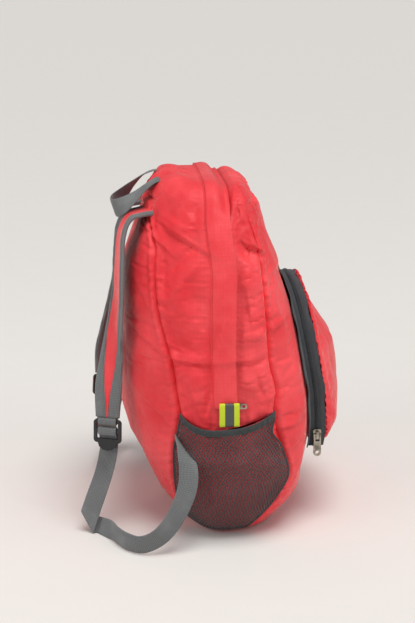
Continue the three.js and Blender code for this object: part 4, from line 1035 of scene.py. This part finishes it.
def net_lift(w, z):
    rise = np.clip((z - POCKET_BOTTOM_Z) / (pocket_top(w) - POCKET_BOTTOM_Z), 0, 1)
    bulge = POCKET_BULGE * (POCKET_BASE_BULGE + (1 - POCKET_BASE_BULGE) * rise)
    fold = sum(
        high * np.exp(-(((z - middle + lean * (w - 0.5)) / width) ** 2))
        for middle, lean, width, high in NET_FOLDS
    )
    return POCKET_EDGE_LIFT + (bulge + fold) * 4 * w * (1 - w)


def net_surface(w, z, extra, mirror):
    """Points of the side pocket by share w across the side panel and height z."""
    back_angle = angle_at(profile("back_seam", z), z)
    front_angle = angle_at(profile("front_seam", z), z)
    angle = back_angle + (front_angle - back_angle) * w
    point = bag_point(angle, z) + bag_normal(angle, z) * (net_lift(w, z) + extra)[..., None]
    return point * np.array((-mirror, 1, 1))


def net_front_edge(z):
    """Share across the side panel at which the net ends in front; it draws in under the binding."""
    return 0.985 - 0.09 * np.exp(-(((z - 128) / 11) ** 2))


def net_pocket(mirror):
    """Net of crossing strands, cut to the pocket's outline."""
    name = SIDE_NAMES[mirror]
    cell_u, cell_v = NET_CELL
    rows = int((POCKET_TOP_Z - POCKET_BOTTOM_Z) / (cell_v / 2))
    nodes, points, cloth = {}, [], []
    for r in range(rows + 1):
        z = POCKET_BOTTOM_Z + r * cell_v / 2
        w = np.linspace(0.015, net_front_edge(z), 160)
        line = net_surface(w, np.full_like(w, z), np.zeros_like(w), mirror)
        length = np.concatenate([[0], np.cumsum(np.linalg.norm(np.diff(line, axis=0), axis=1))])
        middle = np.interp(0.5, w, length)
        for c in range(-60, 61):
            if (r + c) % 2:
                continue
            at = middle + c * cell_u / 2
            if not -cell_u * 0.3 <= at <= length[-1] + cell_u * 0.3:
                continue
            share = float(np.interp(at, length, w))
            if z > pocket_top(np.array(share)) + 2.0:
                continue
            nodes[r, c] = len(points)
            points.append(net_surface(np.array(share), np.array(z), np.array(0.0), mirror))
            cloth.append((c * cell_u / 2, z))
    faces = []
    for r, c in nodes:
        ring = [(r, c), (r + 1, c + 1), (r + 2, c), (r + 1, c - 1)]
        if all(key in nodes for key in ring):
            faces.append([nodes[key] for key in ring])
    obj = add_mesh(f"net_{name}", np.array(points), faces, NET, cloth)
    face_out(obj, closed=False, inside=INSIDE)
    strands = obj.modifiers.new("strands", "WIREFRAME")
    strands.thickness = NET_STRAND * MM
    strands.offset = 0
    strands.use_even_offset = False
    subdivide(obj)
    dress(obj, "net", f"net_pocket_{name}")
    return obj


def strip_mesh(name, points, cloth, material, slot, nodes=(), body="bag"):
    """A closed strip from rows of outline points, capped at both ends."""
    rows, count = points.shape[:2]
    faces = grid_faces(rows, count, around=True)
    half = count // 2
    for start in (0, (rows - 1) * count):
        for k in range(half - 1):
            faces.append([start + k, start + k + 1, start + count - 2 - k, start + count - 1 - k])
    obj = add_mesh(name, points, faces, material, cloth)
    face_out(obj)
    return dress(obj, slot, *nodes, body=body)


def row_lengths(centres):
    return np.concatenate([[0], np.cumsum(np.linalg.norm(np.diff(centres, axis=0), axis=1))])


def tube(name, centres, across, face, section, material, slot, nodes=(), body="bag"):
    """A strip swept along centres: section gives its outline as (across, face) pairs per station."""
    rows = len(centres)
    outline = section if section.ndim == 3 else np.broadcast_to(section, (rows, *section.shape))
    points = centres[:, None] + across[:, None] * outline[..., :1] + face[:, None] * outline[..., 1:]
    length = row_lengths(centres)
    cloth = np.stack([outline[..., 0], np.broadcast_to(length[:, None], outline.shape[:2])], -1)
    return strip_mesh(name, points, cloth, material, slot, nodes, body)


def strip_axes(centres, across):
    along = unit(np.gradient(centres, axis=0))
    across = unit(across - along * np.sum(across * along, -1, keepdims=True))
    return along, across, np.cross(along, across)


def woven_section(width, thick, ribs=13, relief=0.11):
    """Outline of a woven strip: ribbed faces and rounded edges, from one edge round to the other."""
    share = np.linspace(-1, 1, 4 * ribs + 1)
    edge = np.sqrt(np.clip(1 - np.abs(share) ** 14, 0, 1))
    rib = relief * np.cos(share * math.pi * ribs) * (np.abs(share) < 0.93)
    upper = np.stack([share * width / 2, (thick / 2 + rib) * edge], -1)
    lower = np.stack([share[::-1] * width / 2, -(thick / 2 + rib[::-1]) * edge[::-1]], -1)
    return np.concatenate([upper, lower])


def pocket_hem(mirror):
    """Bound upper edge of the net pocket and the dark seam along its sides."""
    name = SIDE_NAMES[mirror]
    w = np.linspace(0.01, 0.99, 70)
    top = pocket_top(w)
    rows = []
    for share in np.linspace(0, 1, 9):
        z = top - 1.0 + share * (BINDING_HEIGHT + 1.0)
        puff = 1.3 * np.sqrt(np.clip(1 - (2 * share - 1) ** 2, 0, 1))
        lift = net_lift(w, top) - net_lift(w, z) + 0.4 + puff + 0.25 * np.sin(w * 95) * puff
        rows.append(net_surface(w, z, lift, mirror))
    outer = np.stack(rows, 1)
    obj = add_mesh(f"pocket_hem_{name}", outer, grid_faces(*outer.shape[:2]), BAND, flat_coordinates(outer)[..., ::-1])
    face_out(obj, closed=False, inside=INSIDE)
    thicken(obj, 1.6)
    dress(obj, "tape", f"pocket_binding_{name}")
    z = np.concatenate([np.linspace(143, POCKET_BOTTOM_Z, 60)])
    edges = []
    for share in (np.full_like(z, 0.012), net_front_edge(z) + 0.003):
        edges.append(net_surface(share, z, np.full_like(z, 0.1), mirror))
    floor = net_surface(np.linspace(0.012, 0.988, 20), np.full(20, POCKET_BOTTOM_Z), np.full(20, 0.1), mirror)
    path = even_curve(np.concatenate([edges[0], floor[1:-1], edges[1][::-1]]), 150)
    outward = unit(path - np.array((0, -12.0, 90.0)))
    along, across, face = strip_axes(path, np.cross(unit(np.gradient(path, axis=0)), outward))
    tube(f"pocket_seam_{name}", path, across, face, woven_section(2.4, 1.2, 2), BAND, "tape")
    return obj


# Reflective tab
def reflective_tab(mirror):
    name = SIDE_NAMES[mirror]
    low, top, bend, lift, centre_y = 138.5, 163.0, 2.2, 4.7, -13.0
    stations = [(z, lift) for z in np.linspace(low, top - bend, 9)]
    turn = np.linspace(-math.pi / 2, math.pi / 2, 9)[1:-1]
    stations += [(top - bend + bend * math.cos(a), lift + bend + bend * math.sin(a)) for a in turn]
    stations += [(z, lift + 2 * bend + 0.5 * math.sin((z - low) / 7)) for z in np.linspace(top - bend, low, 9)]
    rows = []
    for z, rise in stations:
        y = np.array((centre_y, centre_y))
        rows.append(side_point(y, np.full(2, z), np.full(2, rise), mirror)[0])
    centres = np.array(rows)
    across = np.tile(np.array((0.0, 1.0, 0.0)), (len(rows), 1))
    along, across, face = strip_axes(centres, across)
    share = np.linspace(-0.5, 0.5, 24)
    section = np.concatenate([
        np.stack([share * TAB_WIDTH, np.full(24, 0.4)], -1),
        np.stack([share[::-1] * TAB_WIDTH, np.full(24, -0.4)], -1),
    ])
    obj = tube(f"tab_{name}", centres, across, face, section, REFLECTIVE, "reflector", (f"reflective_tab_{name}",))
    return obj


# Front pocket
POCKET = {"half_width": 85.0, "bottom": 94.0, "spring": 180.0, "top": 269.0, "floor": 78.0}
ZIP_DEPTH = 17.0
DOME_ROWS = ((78, 2), (85, 14), (94, 24), (108, 28), (125, 32), (150, 35), (172, 36), (200, 35), (226, 27), (250, 19), (268, 13))


def front_y(x, z):
    side = profile("side", z)
    across = np.minimum(np.abs(x) / profile("half_width", z), 1)
    return side - (side - profile("front", z)) * (1 - across**FRONT_ROUNDNESS) ** (1 / FRONT_ROUNDNESS)

POCKET_FOOT = 5.0


def pocket_outline(count, inset=0.0):
    """Points (x, z) of the pocket's outline, left foot over the arch to right foot, and outward ways."""
    legs = np.linspace(POCKET["bottom"] - POCKET_FOOT, POCKET["spring"], 60)
    turn = np.linspace(math.pi, 0, 160)[1:-1]
    half = POCKET["half_width"] - inset
    tall = POCKET["top"] - POCKET["spring"] - inset
    path = np.concatenate([
        np.stack([np.full(60, -half), legs], -1),
        np.stack([half * np.cos(turn), POCKET["spring"] + tall * np.sin(turn)], -1),
        np.stack([np.full(60, half), legs[::-1]], -1),
    ])
    path = even_curve(path, count)
    along = unit(np.gradient(path, axis=0))
    return path, np.stack([-along[:, 1], along[:, 0]], -1)


def pocket_wall(strips, count=240):
    """Grid of a strip along the pocket's outline: each strip has a spread, depth, lift and wave.

    A spread lies out from the outline on the front panel, and a depth stands off the panel.
    """
    path, outward = pocket_outline(count)
    distance = np.linspace(0, 1, count) * 460
    ends = smoothstep(np.minimum(distance, 460 - distance), 0, 30)
    rows = []
    for spread, depth, lift, wave in strips:
        ripple = ends * wave * (np.sin(distance / 9.0) + 0.7 * np.sin(distance / 5.3 + 1))
        ground = path + outward * spread
        y = front_y(ground[:, 0], ground[:, 1]) - depth - ripple
        aside = ground + outward * (lift + 0.4 * ripple)[:, None]
        rows.append(np.stack([aside[:, 0], y, aside[:, 1]], -1))
    return np.stack(rows, 1)


TAPE_SKIRT = 8.0


def pocket_zip():
    middle = ZIP_DEPTH / 2
    skirt = [(spread, 1.6, 0.3, 0.12 + 0.5 * (spread / TAPE_SKIRT) ** 2) for spread in np.linspace(TAPE_SKIRT, 0.8, 7)]
    depths = np.linspace(1.8, ZIP_DEPTH + 1.4, 17)
    off = np.abs(depths - middle)
    lifts = 0.25 + 0.8 * np.sin(np.clip((off - 1) / (middle - 1), 0, 1) * math.pi)
    waves = np.where(depths > middle, 0.7, 0.25) * np.clip((off - 3) / (middle - 3), 0, 1) ** 2
    grid = pocket_wall(skirt + list(zip(np.zeros(17), depths, lifts, waves)))
    tape = add_mesh("pocket_tape", grid, grid_faces(*grid.shape[:2]), TAPE, flat_coordinates(grid))
    face_out(tape, closed=False, inside=(0, -100, 170))
    thicken(tape, 1.0)
    dress(tape, "tape", "pocket_zip_tape")
    path, outward = pocket_outline(460)
    depth = front_y(path[:, 0], path[:, 1]) - middle
    points, faces = [], []
    bend = np.linspace(0, 2 * math.pi, 5, endpoint=False)
    hook = ((-2.4, 0.2), (-1.9, 1.2), (-0.6, 1.75), (0.6, 1.75), (1.9, 1.2), (2.4, 0.2))
    for k in range(0, 458, 2):
        base = np.array((path[k, 0], depth[k], path[k, 1]))
        out = np.array((outward[k, 0], 0, outward[k, 1]))
        along = unit(np.array((path[k + 1, 0] - path[k, 0], 0, path[k + 1, 1] - path[k, 1])))
        first = len(points)
        for across, rise in hook:
            centre = base + out * rise + np.array((0, across, 0))
            up = unit(out + np.array((0, across * 0.4, 0)))
            for angle in bend:
                points.append(centre + 0.52 * (math.cos(angle) * along + math.sin(angle) * up))
        faces.extend(grid_faces(len(hook), 5, first, around=True))
        faces.append([first + k for k in reversed(range(5))])
        faces.append([first + 5 * (len(hook) - 1) + k for k in range(5)])
    coil = add_mesh("pocket_coil", np.array(points), faces, TAPE, np.zeros((len(points), 2)))
    dress(face_out(coil), "tape", "pocket_zip_coil")

DOME_INSET = 3.0
DOME_CORNER_RISE = 15.0
DOME_INSIDE = (0.0, -60.0, 170.0)


def pocket_dome():
    """Domed face of the front pocket, inside its zip."""
    heights, reaches = np.array(DOME_ROWS, float).T
    rows, columns = 84, 81
    rise = np.linspace(0, 1, rows)
    z = POCKET["floor"] + (POCKET["top"] - 1.2 - POCKET["floor"]) * np.sin(rise * math.pi / 2) ** 1.1
    lift = np.clip((z - POCKET["spring"]) / (POCKET["top"] - POCKET["spring"]), 0, 1)
    half = POCKET["half_width"] * np.sqrt(1 - lift**2) - 0.5
    share = np.sin(np.linspace(-1, 1, columns) * math.pi / 2)
    edge = ZIP_DEPTH * smoothstep(z, POCKET["floor"], POCKET["bottom"] - 6)
    middle = np.maximum(np.interp(z, heights, reaches), edge)
    x = half[:, None] * share[None]
    corner = DOME_CORNER_RISE * np.abs(share)[None] ** 4 * (1 - smoothstep(z, POCKET["floor"], 125))[:, None]
    zz = z[:, None] + corner
    reach = 2.9 + edge[:, None] + (middle - edge)[:, None] * (1 - np.abs(share) ** 2.2)[None]
    grid = np.stack([x, front_y(x, zz) - reach, zz], -1)
    inside = np.array(DOME_INSIDE)
    shaped = grid - grid_normals(grid, inside) * (DOME_INSET * smoothstep(nearest_edge(grid), 0, 35))[..., None]
    shaped = swell(shaped, np.zeros((rows, columns)), 0.02, 3.0, inside)
    even = doubled(grid)
    flat = flat_coordinates(even)
    push = 0.45 * seam_push(even, 29, 1.0) * smoothstep(even[..., 2], 80, 100)
    push += 0.5 * crumple(flat, 23) * smoothstep(nearest_edge(even), 0, 16)
    fine = doubled(shaped)
    fine = fine + grid_normals(fine, inside) * push[..., None]
    obj = add_mesh("front_pocket_cloth", fine, grid_faces(*fine.shape[:2]), RIPSTOP, flat)
    face_out(obj, closed=False, inside=inside)
    dress(obj, "cloth", "front_pocket")


# Hard pieces keep their solids, with rounded edges and a finish
def finish_node(node, material, bevel):
    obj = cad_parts[node]
    obj.data.materials.clear()
    obj.data.materials.append(material)
    round_edges = obj.modifiers.new("rounded", "BEVEL")
    round_edges.width = bevel * MM
    round_edges.segments = 3
    round_edges.limit_method = "ANGLE"
    round_edges.angle_limit = math.radians(40)
    round_edges.harden_normals = False


# Shoulder straps: x outwards, y, z, width, turn and cup
STRAP_ROWS = (
    (37, 56, 351, 44, 0, 0),
    (39, 74, 349, 44, -2, 1),
    (41, 85, 346, 46, 0, 2),
    (43, 92, 338, 48, 2, 3),
    (47, 97, 325, 49, 6, 3),
    (53, 99, 300, 50, 8, 2),
    (61, 101, 264, 49, 9, 2),
    (70, 106, 226, 45, 17, 3),
    (75, 110, 192, 37, 38, 2),
    (81, 113.5, 159, 33, 60, 1),
    (84, 114.5, 129, 28, 68, 0),
)
RIGHT_CLOSER = 3.0
RIGHT_TURN = 3.0
STRAP_THICK = 4.0
EDGE_TAPE = 5.0
EDGE_TAPE_THICK = 5.4


def strap_stations(mirror, count):
    t = np.linspace(0, 1, count)
    rows = catmull(STRAP_ROWS, t)
    ease = np.sin(math.pi * t) if mirror == RIGHT else np.zeros(count)
    centres = rows[:, :3] * np.array((mirror, 1, 1))
    centres[:, 1] -= ease * RIGHT_CLOSER
    turn = np.radians(rows[:, 4] + ease * RIGHT_TURN)
    across = np.stack([-mirror * np.cos(turn), np.sin(turn), np.zeros(count)], -1)
    along, across, face = strip_axes(centres, across)
    outer = face * mirror
    return centres, along, across, outer, rows[:, 3], -rows[:, 5]

TAPER_FROM = 0.66


def shoulder_strap(mirror):
    name = SIDE_NAMES[mirror]
    count = 140
    centres, along, across, outer, width, cup = strap_stations(mirror, count)
    half = width / 2
    tape = EDGE_TAPE + (half - EDGE_TAPE) * smoothstep(np.linspace(0, 1, count), TAPER_FROM, 1.03)
    columns = 25
    share = np.linspace(-1, 1, columns)
    place = share[None] * (half - tape + 0.8)[:, None]
    bow = cup[:, None] * (1 - (place / half[:, None]) ** 2)
    puff = STRAP_THICK / 2 * (0.55 + 0.6 * np.sqrt(np.clip(1 - share**4, 0, 1)))[None]
    distance = np.concatenate([[0], np.cumsum(np.linalg.norm(np.diff(centres, axis=0), axis=1))])
    wrinkle = 0.45 * np.sin(distance[:, None] / 6.5 + 2 * share[None]) * np.sin(distance[:, None] / 23.0)
    wrinkle = wrinkle * (0.4 + 0.6 * np.abs(share)[None])
    sides = []
    for sign in (1, -1):
        rise = bow + sign * (puff + wrinkle * (1 if sign > 0 else 0.5))
        sides.append(centres[:, None] + across[:, None] * place[..., None] + outer[:, None] * rise[..., None])
    cloth = np.stack([place, np.broadcast_to(distance[:, None], place.shape)], -1)
    points = np.concatenate([sides[0], sides[1][:, ::-1]], 1)
    flat = np.concatenate([cloth, cloth[:, ::-1]], 1)
    faces = grid_faces(count, 2 * columns, around=True)
    per_row = 2 * columns
    for start in (0, (count - 1) * per_row):
        for k in range(columns - 1):
            faces.append([start + k, start + k + 1, start + per_row - 2 - k, start + per_row - 1 - k])
    obj = add_mesh(f"strap_pad_{name}", points, faces, RIPSTOP, flat)
    obj.data.materials.append(INNER_MESH)
    slots = np.zeros(len(obj.data.polygons), np.int32)
    column_of = np.arange(len(slots)) % per_row
    slots[(column_of >= columns - 1) & (np.arange(len(slots)) < (count - 1) * per_row)] = 1
    obj.data.polygons.foreach_set("material_index", slots)
    face_out(obj)
    dress(obj, "cloth", f"shoulder_strap_{name}")
    for label, sign in (("outboard", -1), ("inboard", 1)):
        ring = np.linspace(0, 2 * math.pi, 20, endpoint=False)
        spot = sign * (half - tape / 2)
        bend = cup * (1 - (spot / half) ** 2)
        middle = centres + across * spot[:, None] + outer * bend[:, None]
        fat = 1 + 0.05 * np.sin(distance / 4.1) + 0.06 * np.sin(distance / 11.0 + sign)
        wide = signed_power(np.cos(ring), 0.7)[None] * (tape / 2)[:, None]
        tall = signed_power(np.sin(ring), 0.8)[None] * (EDGE_TAPE_THICK / 2 * fat)[:, None]
        tube(f"strap_edge_{label}_{name}", middle, across, outer, np.stack([wide, tall], -1), WEBBING,
             "webbing", (f"strap_binding_{label}_{name}",))
        inner_side = middle - across * (sign * tape * 0.3)[:, None]
        stitch_path = inner_side + outer * (EDGE_TAPE_THICK / 2 * 0.86)
        stitch_line(f"strap_stitches_{label}_{name}", stitch_path, outer, 0.15, WEBBING, "webbing")


# Buckles and lower webbing: steps down the buckle and out of its face
END_LOOP = ((0.9, 1.6), (2.2, 2.6), (6.6, 2.7), (8.2, 1.6), (8.5, 0), (8.2, -1.6), (6.6, -2.7), (2.2, -2.6), (0.9, -1.6))
LOCK_THREAD = (
    (35, -2.6), (27, -2.6), (22, -2.2), (20, 0), (18.8, 2.3), (15.4, 2.8),
    (12.6, 2.2), (11.4, 0), (11.8, -2.6), (15, -4.6), (22, -4.9), (36, -4.9),
)
WEBBING_WIDTH = 21.0
WEBBING_THICK = 1.3
# Runs from the buckle to the side seam: x outwards, y, z and the direction across
WEBBING_RUNS = {
    LEFT: (
        (81, 119, 66, -0.35, 0.93, 0.1),
        (121, 113, 11.2, -0.15, -0.1, 1), (137, 106, 11.4, -0.05, 0, 1), (153, 96, 11.4, 0, 0, 1),
        (164, 81, 12.5, 0.05, 0.2, 1), (168, 62, 23, 0.1, 0.6, 0.8), (166, 43, 48, 0.1, 0.85, 0.5),
        (160, 32, 76, 0.05, 1, 0.1), (154, 31, 95, 0.35, 0.9, -0.2), (149, 33, 104, 0.75, 0.6, -0.3),
        (141, 36, 112, 0.97, 0.2, -0.1), (130, 39, 118, 1, 0.05, 0),
    ),
    RIGHT: (
        (82, 117, 68, -0.4, 0.9, 0), (94, 119, 50, -0.3, 0.92, 0), (112, 115, 42, 0, 1, 0),
        (130, 110, 50, 0.2, 0.95, 0), (147, 102, 72, 0.5, 0.8, -0.2), (157, 86, 93, 0.5, 0.6, -0.6),
        (154, 64, 107, 0.6, 0.4, -0.7), (142, 47, 116, 0.95, 0.2, -0.2), (130, 39, 118, 1, 0.05, 0),
    ),
}
# The left run is folded over on the floor: its place, the crease's angle, the bend and its radius
FOLD_SPOT = (-100.0, 139.0, 14.5)
FOLD_ANGLE = math.radians(133)
FOLD_BEND = math.radians(160)
FOLD_RADIUS = 1.5
FOLD_REACH = 18.0


def lock_frame(mirror):
    centres, along, across, outer, _, _ = strap_stations(mirror, 200)
    return centres[-1], along[-1], across[-1], outer[-1]


def woven_strip(name, rows, per_row, width, nodes):
    """A webbing strip along rows of centre and across direction."""
    count = per_row * (len(rows) - 1) + 1
    fine = catmull(rows, np.linspace(0, 1, count))
    _, across, face = strip_axes(fine[:, :3], unit(fine[:, 3:]))
    return tube(name, fine[:, :3], across, face, woven_section(width, WEBBING_THICK), WEBBING, "webbing", nodes)


def strip_points(rows, per_row, section):
    """Outline points and centres of a strip along rows of centre and across direction."""
    fine = catmull(rows, np.linspace(0, 1, per_row * (len(rows) - 1) + 1))
    centres = fine[:, :3]
    _, across, face = strip_axes(centres, unit(fine[:, 3:]))
    return centres[:, None] + across[:, None] * section[:, :1] + face[:, None] * section[:, 1:], centres


def folded_strip(name, before, after, per_row, nodes):
    """A webbing strip that runs down to a sharp fold and on from it."""
    section = woven_section(WEBBING_WIDTH, WEBBING_THICK)
    spot = np.array(FOLD_SPOT)
    along = unit(spot - np.array(before[-1][:3]))
    across = np.array((0.1, 1.0, 0.2))
    across = unit(across - along * (across @ along))
    face = np.cross(along, across)
    crease = math.cos(FOLD_ANGLE) * along + math.sin(FOLD_ANGLE) * across
    over = math.sin(FOLD_ANGLE) * along - math.cos(FOLD_ANGLE) * across
    back = math.cos(FOLD_BEND) * over + math.sin(FOLD_BEND) * face

    def folded(distance, aside, rise):
        p = (distance * math.cos(FOLD_ANGLE) + aside * math.sin(FOLD_ANGLE))[..., None]
        q = distance * math.sin(FOLD_ANGLE) - aside * math.cos(FOLD_ANGLE)
        angle = np.clip(q / FOLD_RADIUS, 0, FOLD_BEND)[..., None]
        beyond = np.maximum(q - FOLD_RADIUS * FOLD_BEND, 0)[..., None]
        point = spot + crease * p + over * (np.minimum(q, 0)[..., None] + FOLD_RADIUS * np.sin(angle))
        point = point + face * FOLD_RADIUS * (1 - np.cos(angle)) + back * beyond
        return point + (np.cos(angle) * face - np.sin(angle) * over) * rise[..., None]

    distance = np.linspace(-FOLD_REACH, FOLD_REACH, 91)
    shape = (len(distance), len(section))
    bent = folded(
        np.broadcast_to(distance[:, None], shape),
        np.broadcast_to(section[:, 0], shape), np.broadcast_to(section[:, 1], shape),
    )
    nothing = np.zeros(len(distance))
    middle = folded(distance, nothing, nothing)
    new_across = unit(math.sin(FOLD_ANGLE) * crease - math.cos(FOLD_ANGLE) * back)
    start = (*(spot - along * FOLD_REACH), *across)
    first, first_line = strip_points(list(before) + [start], per_row, section)
    last, last_line = strip_points([(*middle[-1], *new_across)] + list(after), per_row, section)
    points = np.concatenate([first[:-1], bent, last[1:]])
    points[..., 2] = np.maximum(points[..., 2], 0.3)
    length = row_lengths(np.concatenate([first_line[:-1], middle, last_line[1:]]))
    shape = points.shape[:2]
    cloth = np.stack([np.broadcast_to(section[:, 0], shape), np.broadcast_to(length[:, None], shape)], -1)
    return strip_mesh(name, points, cloth, WEBBING, "webbing", nodes)


def buckle(mirror):
    name = SIDE_NAMES[mirror]
    origin, down, across, out = lock_frame(mirror)

    def lock_rows(table):
        return [(*(origin + down * step + out * rise), *across) for step, rise in table]

    woven_strip(f"end_loop_{name}", lock_rows(END_LOOP), 5, WEBBING_WIDTH, (f"strap_end_loop_{name}",))
    run = [(mirror * x, y, z, mirror * wx, wy, wz) for x, y, z, wx, wy, wz in WEBBING_RUNS[mirror]]
    thread = lock_rows(LOCK_THREAD)
    nodes = (f"lower_webbing_{name}",)
    if mirror == LEFT:
        folded_strip(f"webbing_{name}", thread + run[:1], run[1:], 14, nodes)
    else:
        woven_strip(f"webbing_{name}", thread + run, 14, WEBBING_WIDTH, nodes)
    finish_node(f"ladder_lock_{name}", PLASTIC, 0.55)


# Grab handle: left end round the loop to the right end, with the direction across
HANDLE_ROWS = (
    (-30, 44, 382, 1, 0, 0.1), (-30, 54, 383, 1, 0, 0.1), (-31, 66, 376, 1, 0.05, 0.12),
    (-28, 79, 364, 0.92, 0.15, 0.35), (-21, 92, 353, 0.6, 0.3, 0.72), (-11, 101, 348, 0.2, 0.34, 0.92),
    (0, 103, 348, 0, 0.3, 0.95), (11, 101, 351, -0.2, 0.32, 0.93), (20, 92, 358, -0.55, 0.3, 0.78),
    (27, 79, 370, -0.9, 0.15, 0.38), (30, 66, 380, -1, 0.05, 0.14), (30, 54, 384, -1, 0, 0.1),
    (30, 44, 383, -1, 0, 0.1),
)
HANDLE_WIDTH = 20.0


def grab_handle():
    woven_strip("handle_webbing", HANDLE_ROWS, 12, HANDLE_WIDTH, ("grab_handle",))


# Studio
FLOOR_REACH = 40000.0
SUN_FROM = Vector((-0.2, -0.12, 0.97))


def studio():
    """A wide pale floor, an even soft sun for the key, two soft lamps and a dim white sky."""
    corners = [(x, y, 0) for x, y in ((-1, -1), (1, -1), (1, 1), (-1, 1))]
    floor = add_mesh("studio_floor", np.array(corners) * FLOOR_REACH, [(0, 1, 2, 3)], FLOOR)
    world = bpy.data.worlds.new("studio_air")
    world.use_nodes = True
    world.node_tree.nodes["Background"].inputs["Color"].default_value = (0.95, 0.97, 1.0, 1)
    world.node_tree.nodes["Background"].inputs["Strength"].default_value = 0.32
    bpy.context.scene.world = world
    sun = bpy.data.lights.new("key_light", "SUN")
    sun.energy = 2.15
    sun.angle = math.radians(32)
    sun.color = (1.0, 0.985, 0.965)
    key = bpy.data.objects.new("key_light", sun)
    key.rotation_euler = SUN_FROM.to_track_quat("Z", "Y").to_euler()
    bpy.context.scene.collection.objects.link(key)
    lamps = (
        ("back_light", (-0.9, 1.5, 1.0), 9, 1.2),
        ("front_light", (-0.9, -1.5, 1.0), 6, 1.2),
    )
    for name, spot, power, size in lamps:
        lamp = bpy.data.lights.new(name, "AREA")
        lamp.size = size
        lamp.energy = power
        lamp.color = (1.0, 0.97, 0.94)
        obj = bpy.data.objects.new(name, lamp)
        obj.location = spot
        obj.rotation_euler = (Vector((0, 0, 0.15)) - Vector(spot)).to_track_quat("-Z", "Y").to_euler()
        bpy.context.scene.collection.objects.link(obj)


AZIMUTH, ELEVATION, DISTANCE = math.radians(-95), math.radians(15), 1.5
TARGET = Vector((0, -0.003, 0.224))
IMAGE_HEIGHT = 623
SENSOR = 36.0
FOCAL_PIXELS = 1500 / 1.15


def camera():
    lens = bpy.data.cameras.new("camera")
    lens.sensor_fit = "VERTICAL"
    lens.sensor_height = SENSOR
    lens.lens = FOCAL_PIXELS / IMAGE_HEIGHT * SENSOR
    obj = bpy.data.objects.new("camera", lens)
    flat = math.cos(ELEVATION)
    away = Vector((math.sin(AZIMUTH) * flat, -math.cos(AZIMUTH) * flat, math.sin(ELEVATION)))
    obj.location = TARGET + away * DISTANCE
    obj.rotation_euler = (-away).to_track_quat("-Z", "Y").to_euler()
    bpy.context.scene.collection.objects.link(obj)
    bpy.context.scene.camera = obj


camera()
studio()
bpy.context.scene.view_settings.view_transform = "Standard"
back_and_front()
zip_gussets()
base_gusset()
storm_flap()
pocket_dome()
pocket_zip()
grab_handle()
for mirror in (LEFT, RIGHT):
    net_pocket(mirror)
    pocket_hem(mirror)
    reflective_tab(mirror)
    shoulder_strap(mirror)
    buckle(mirror)
for node, rounding in (("main_zip_pull", 0.3), ("pocket_slider", 0.4), ("pocket_pull", 0.4)):
    finish_node(node, METAL, rounding)
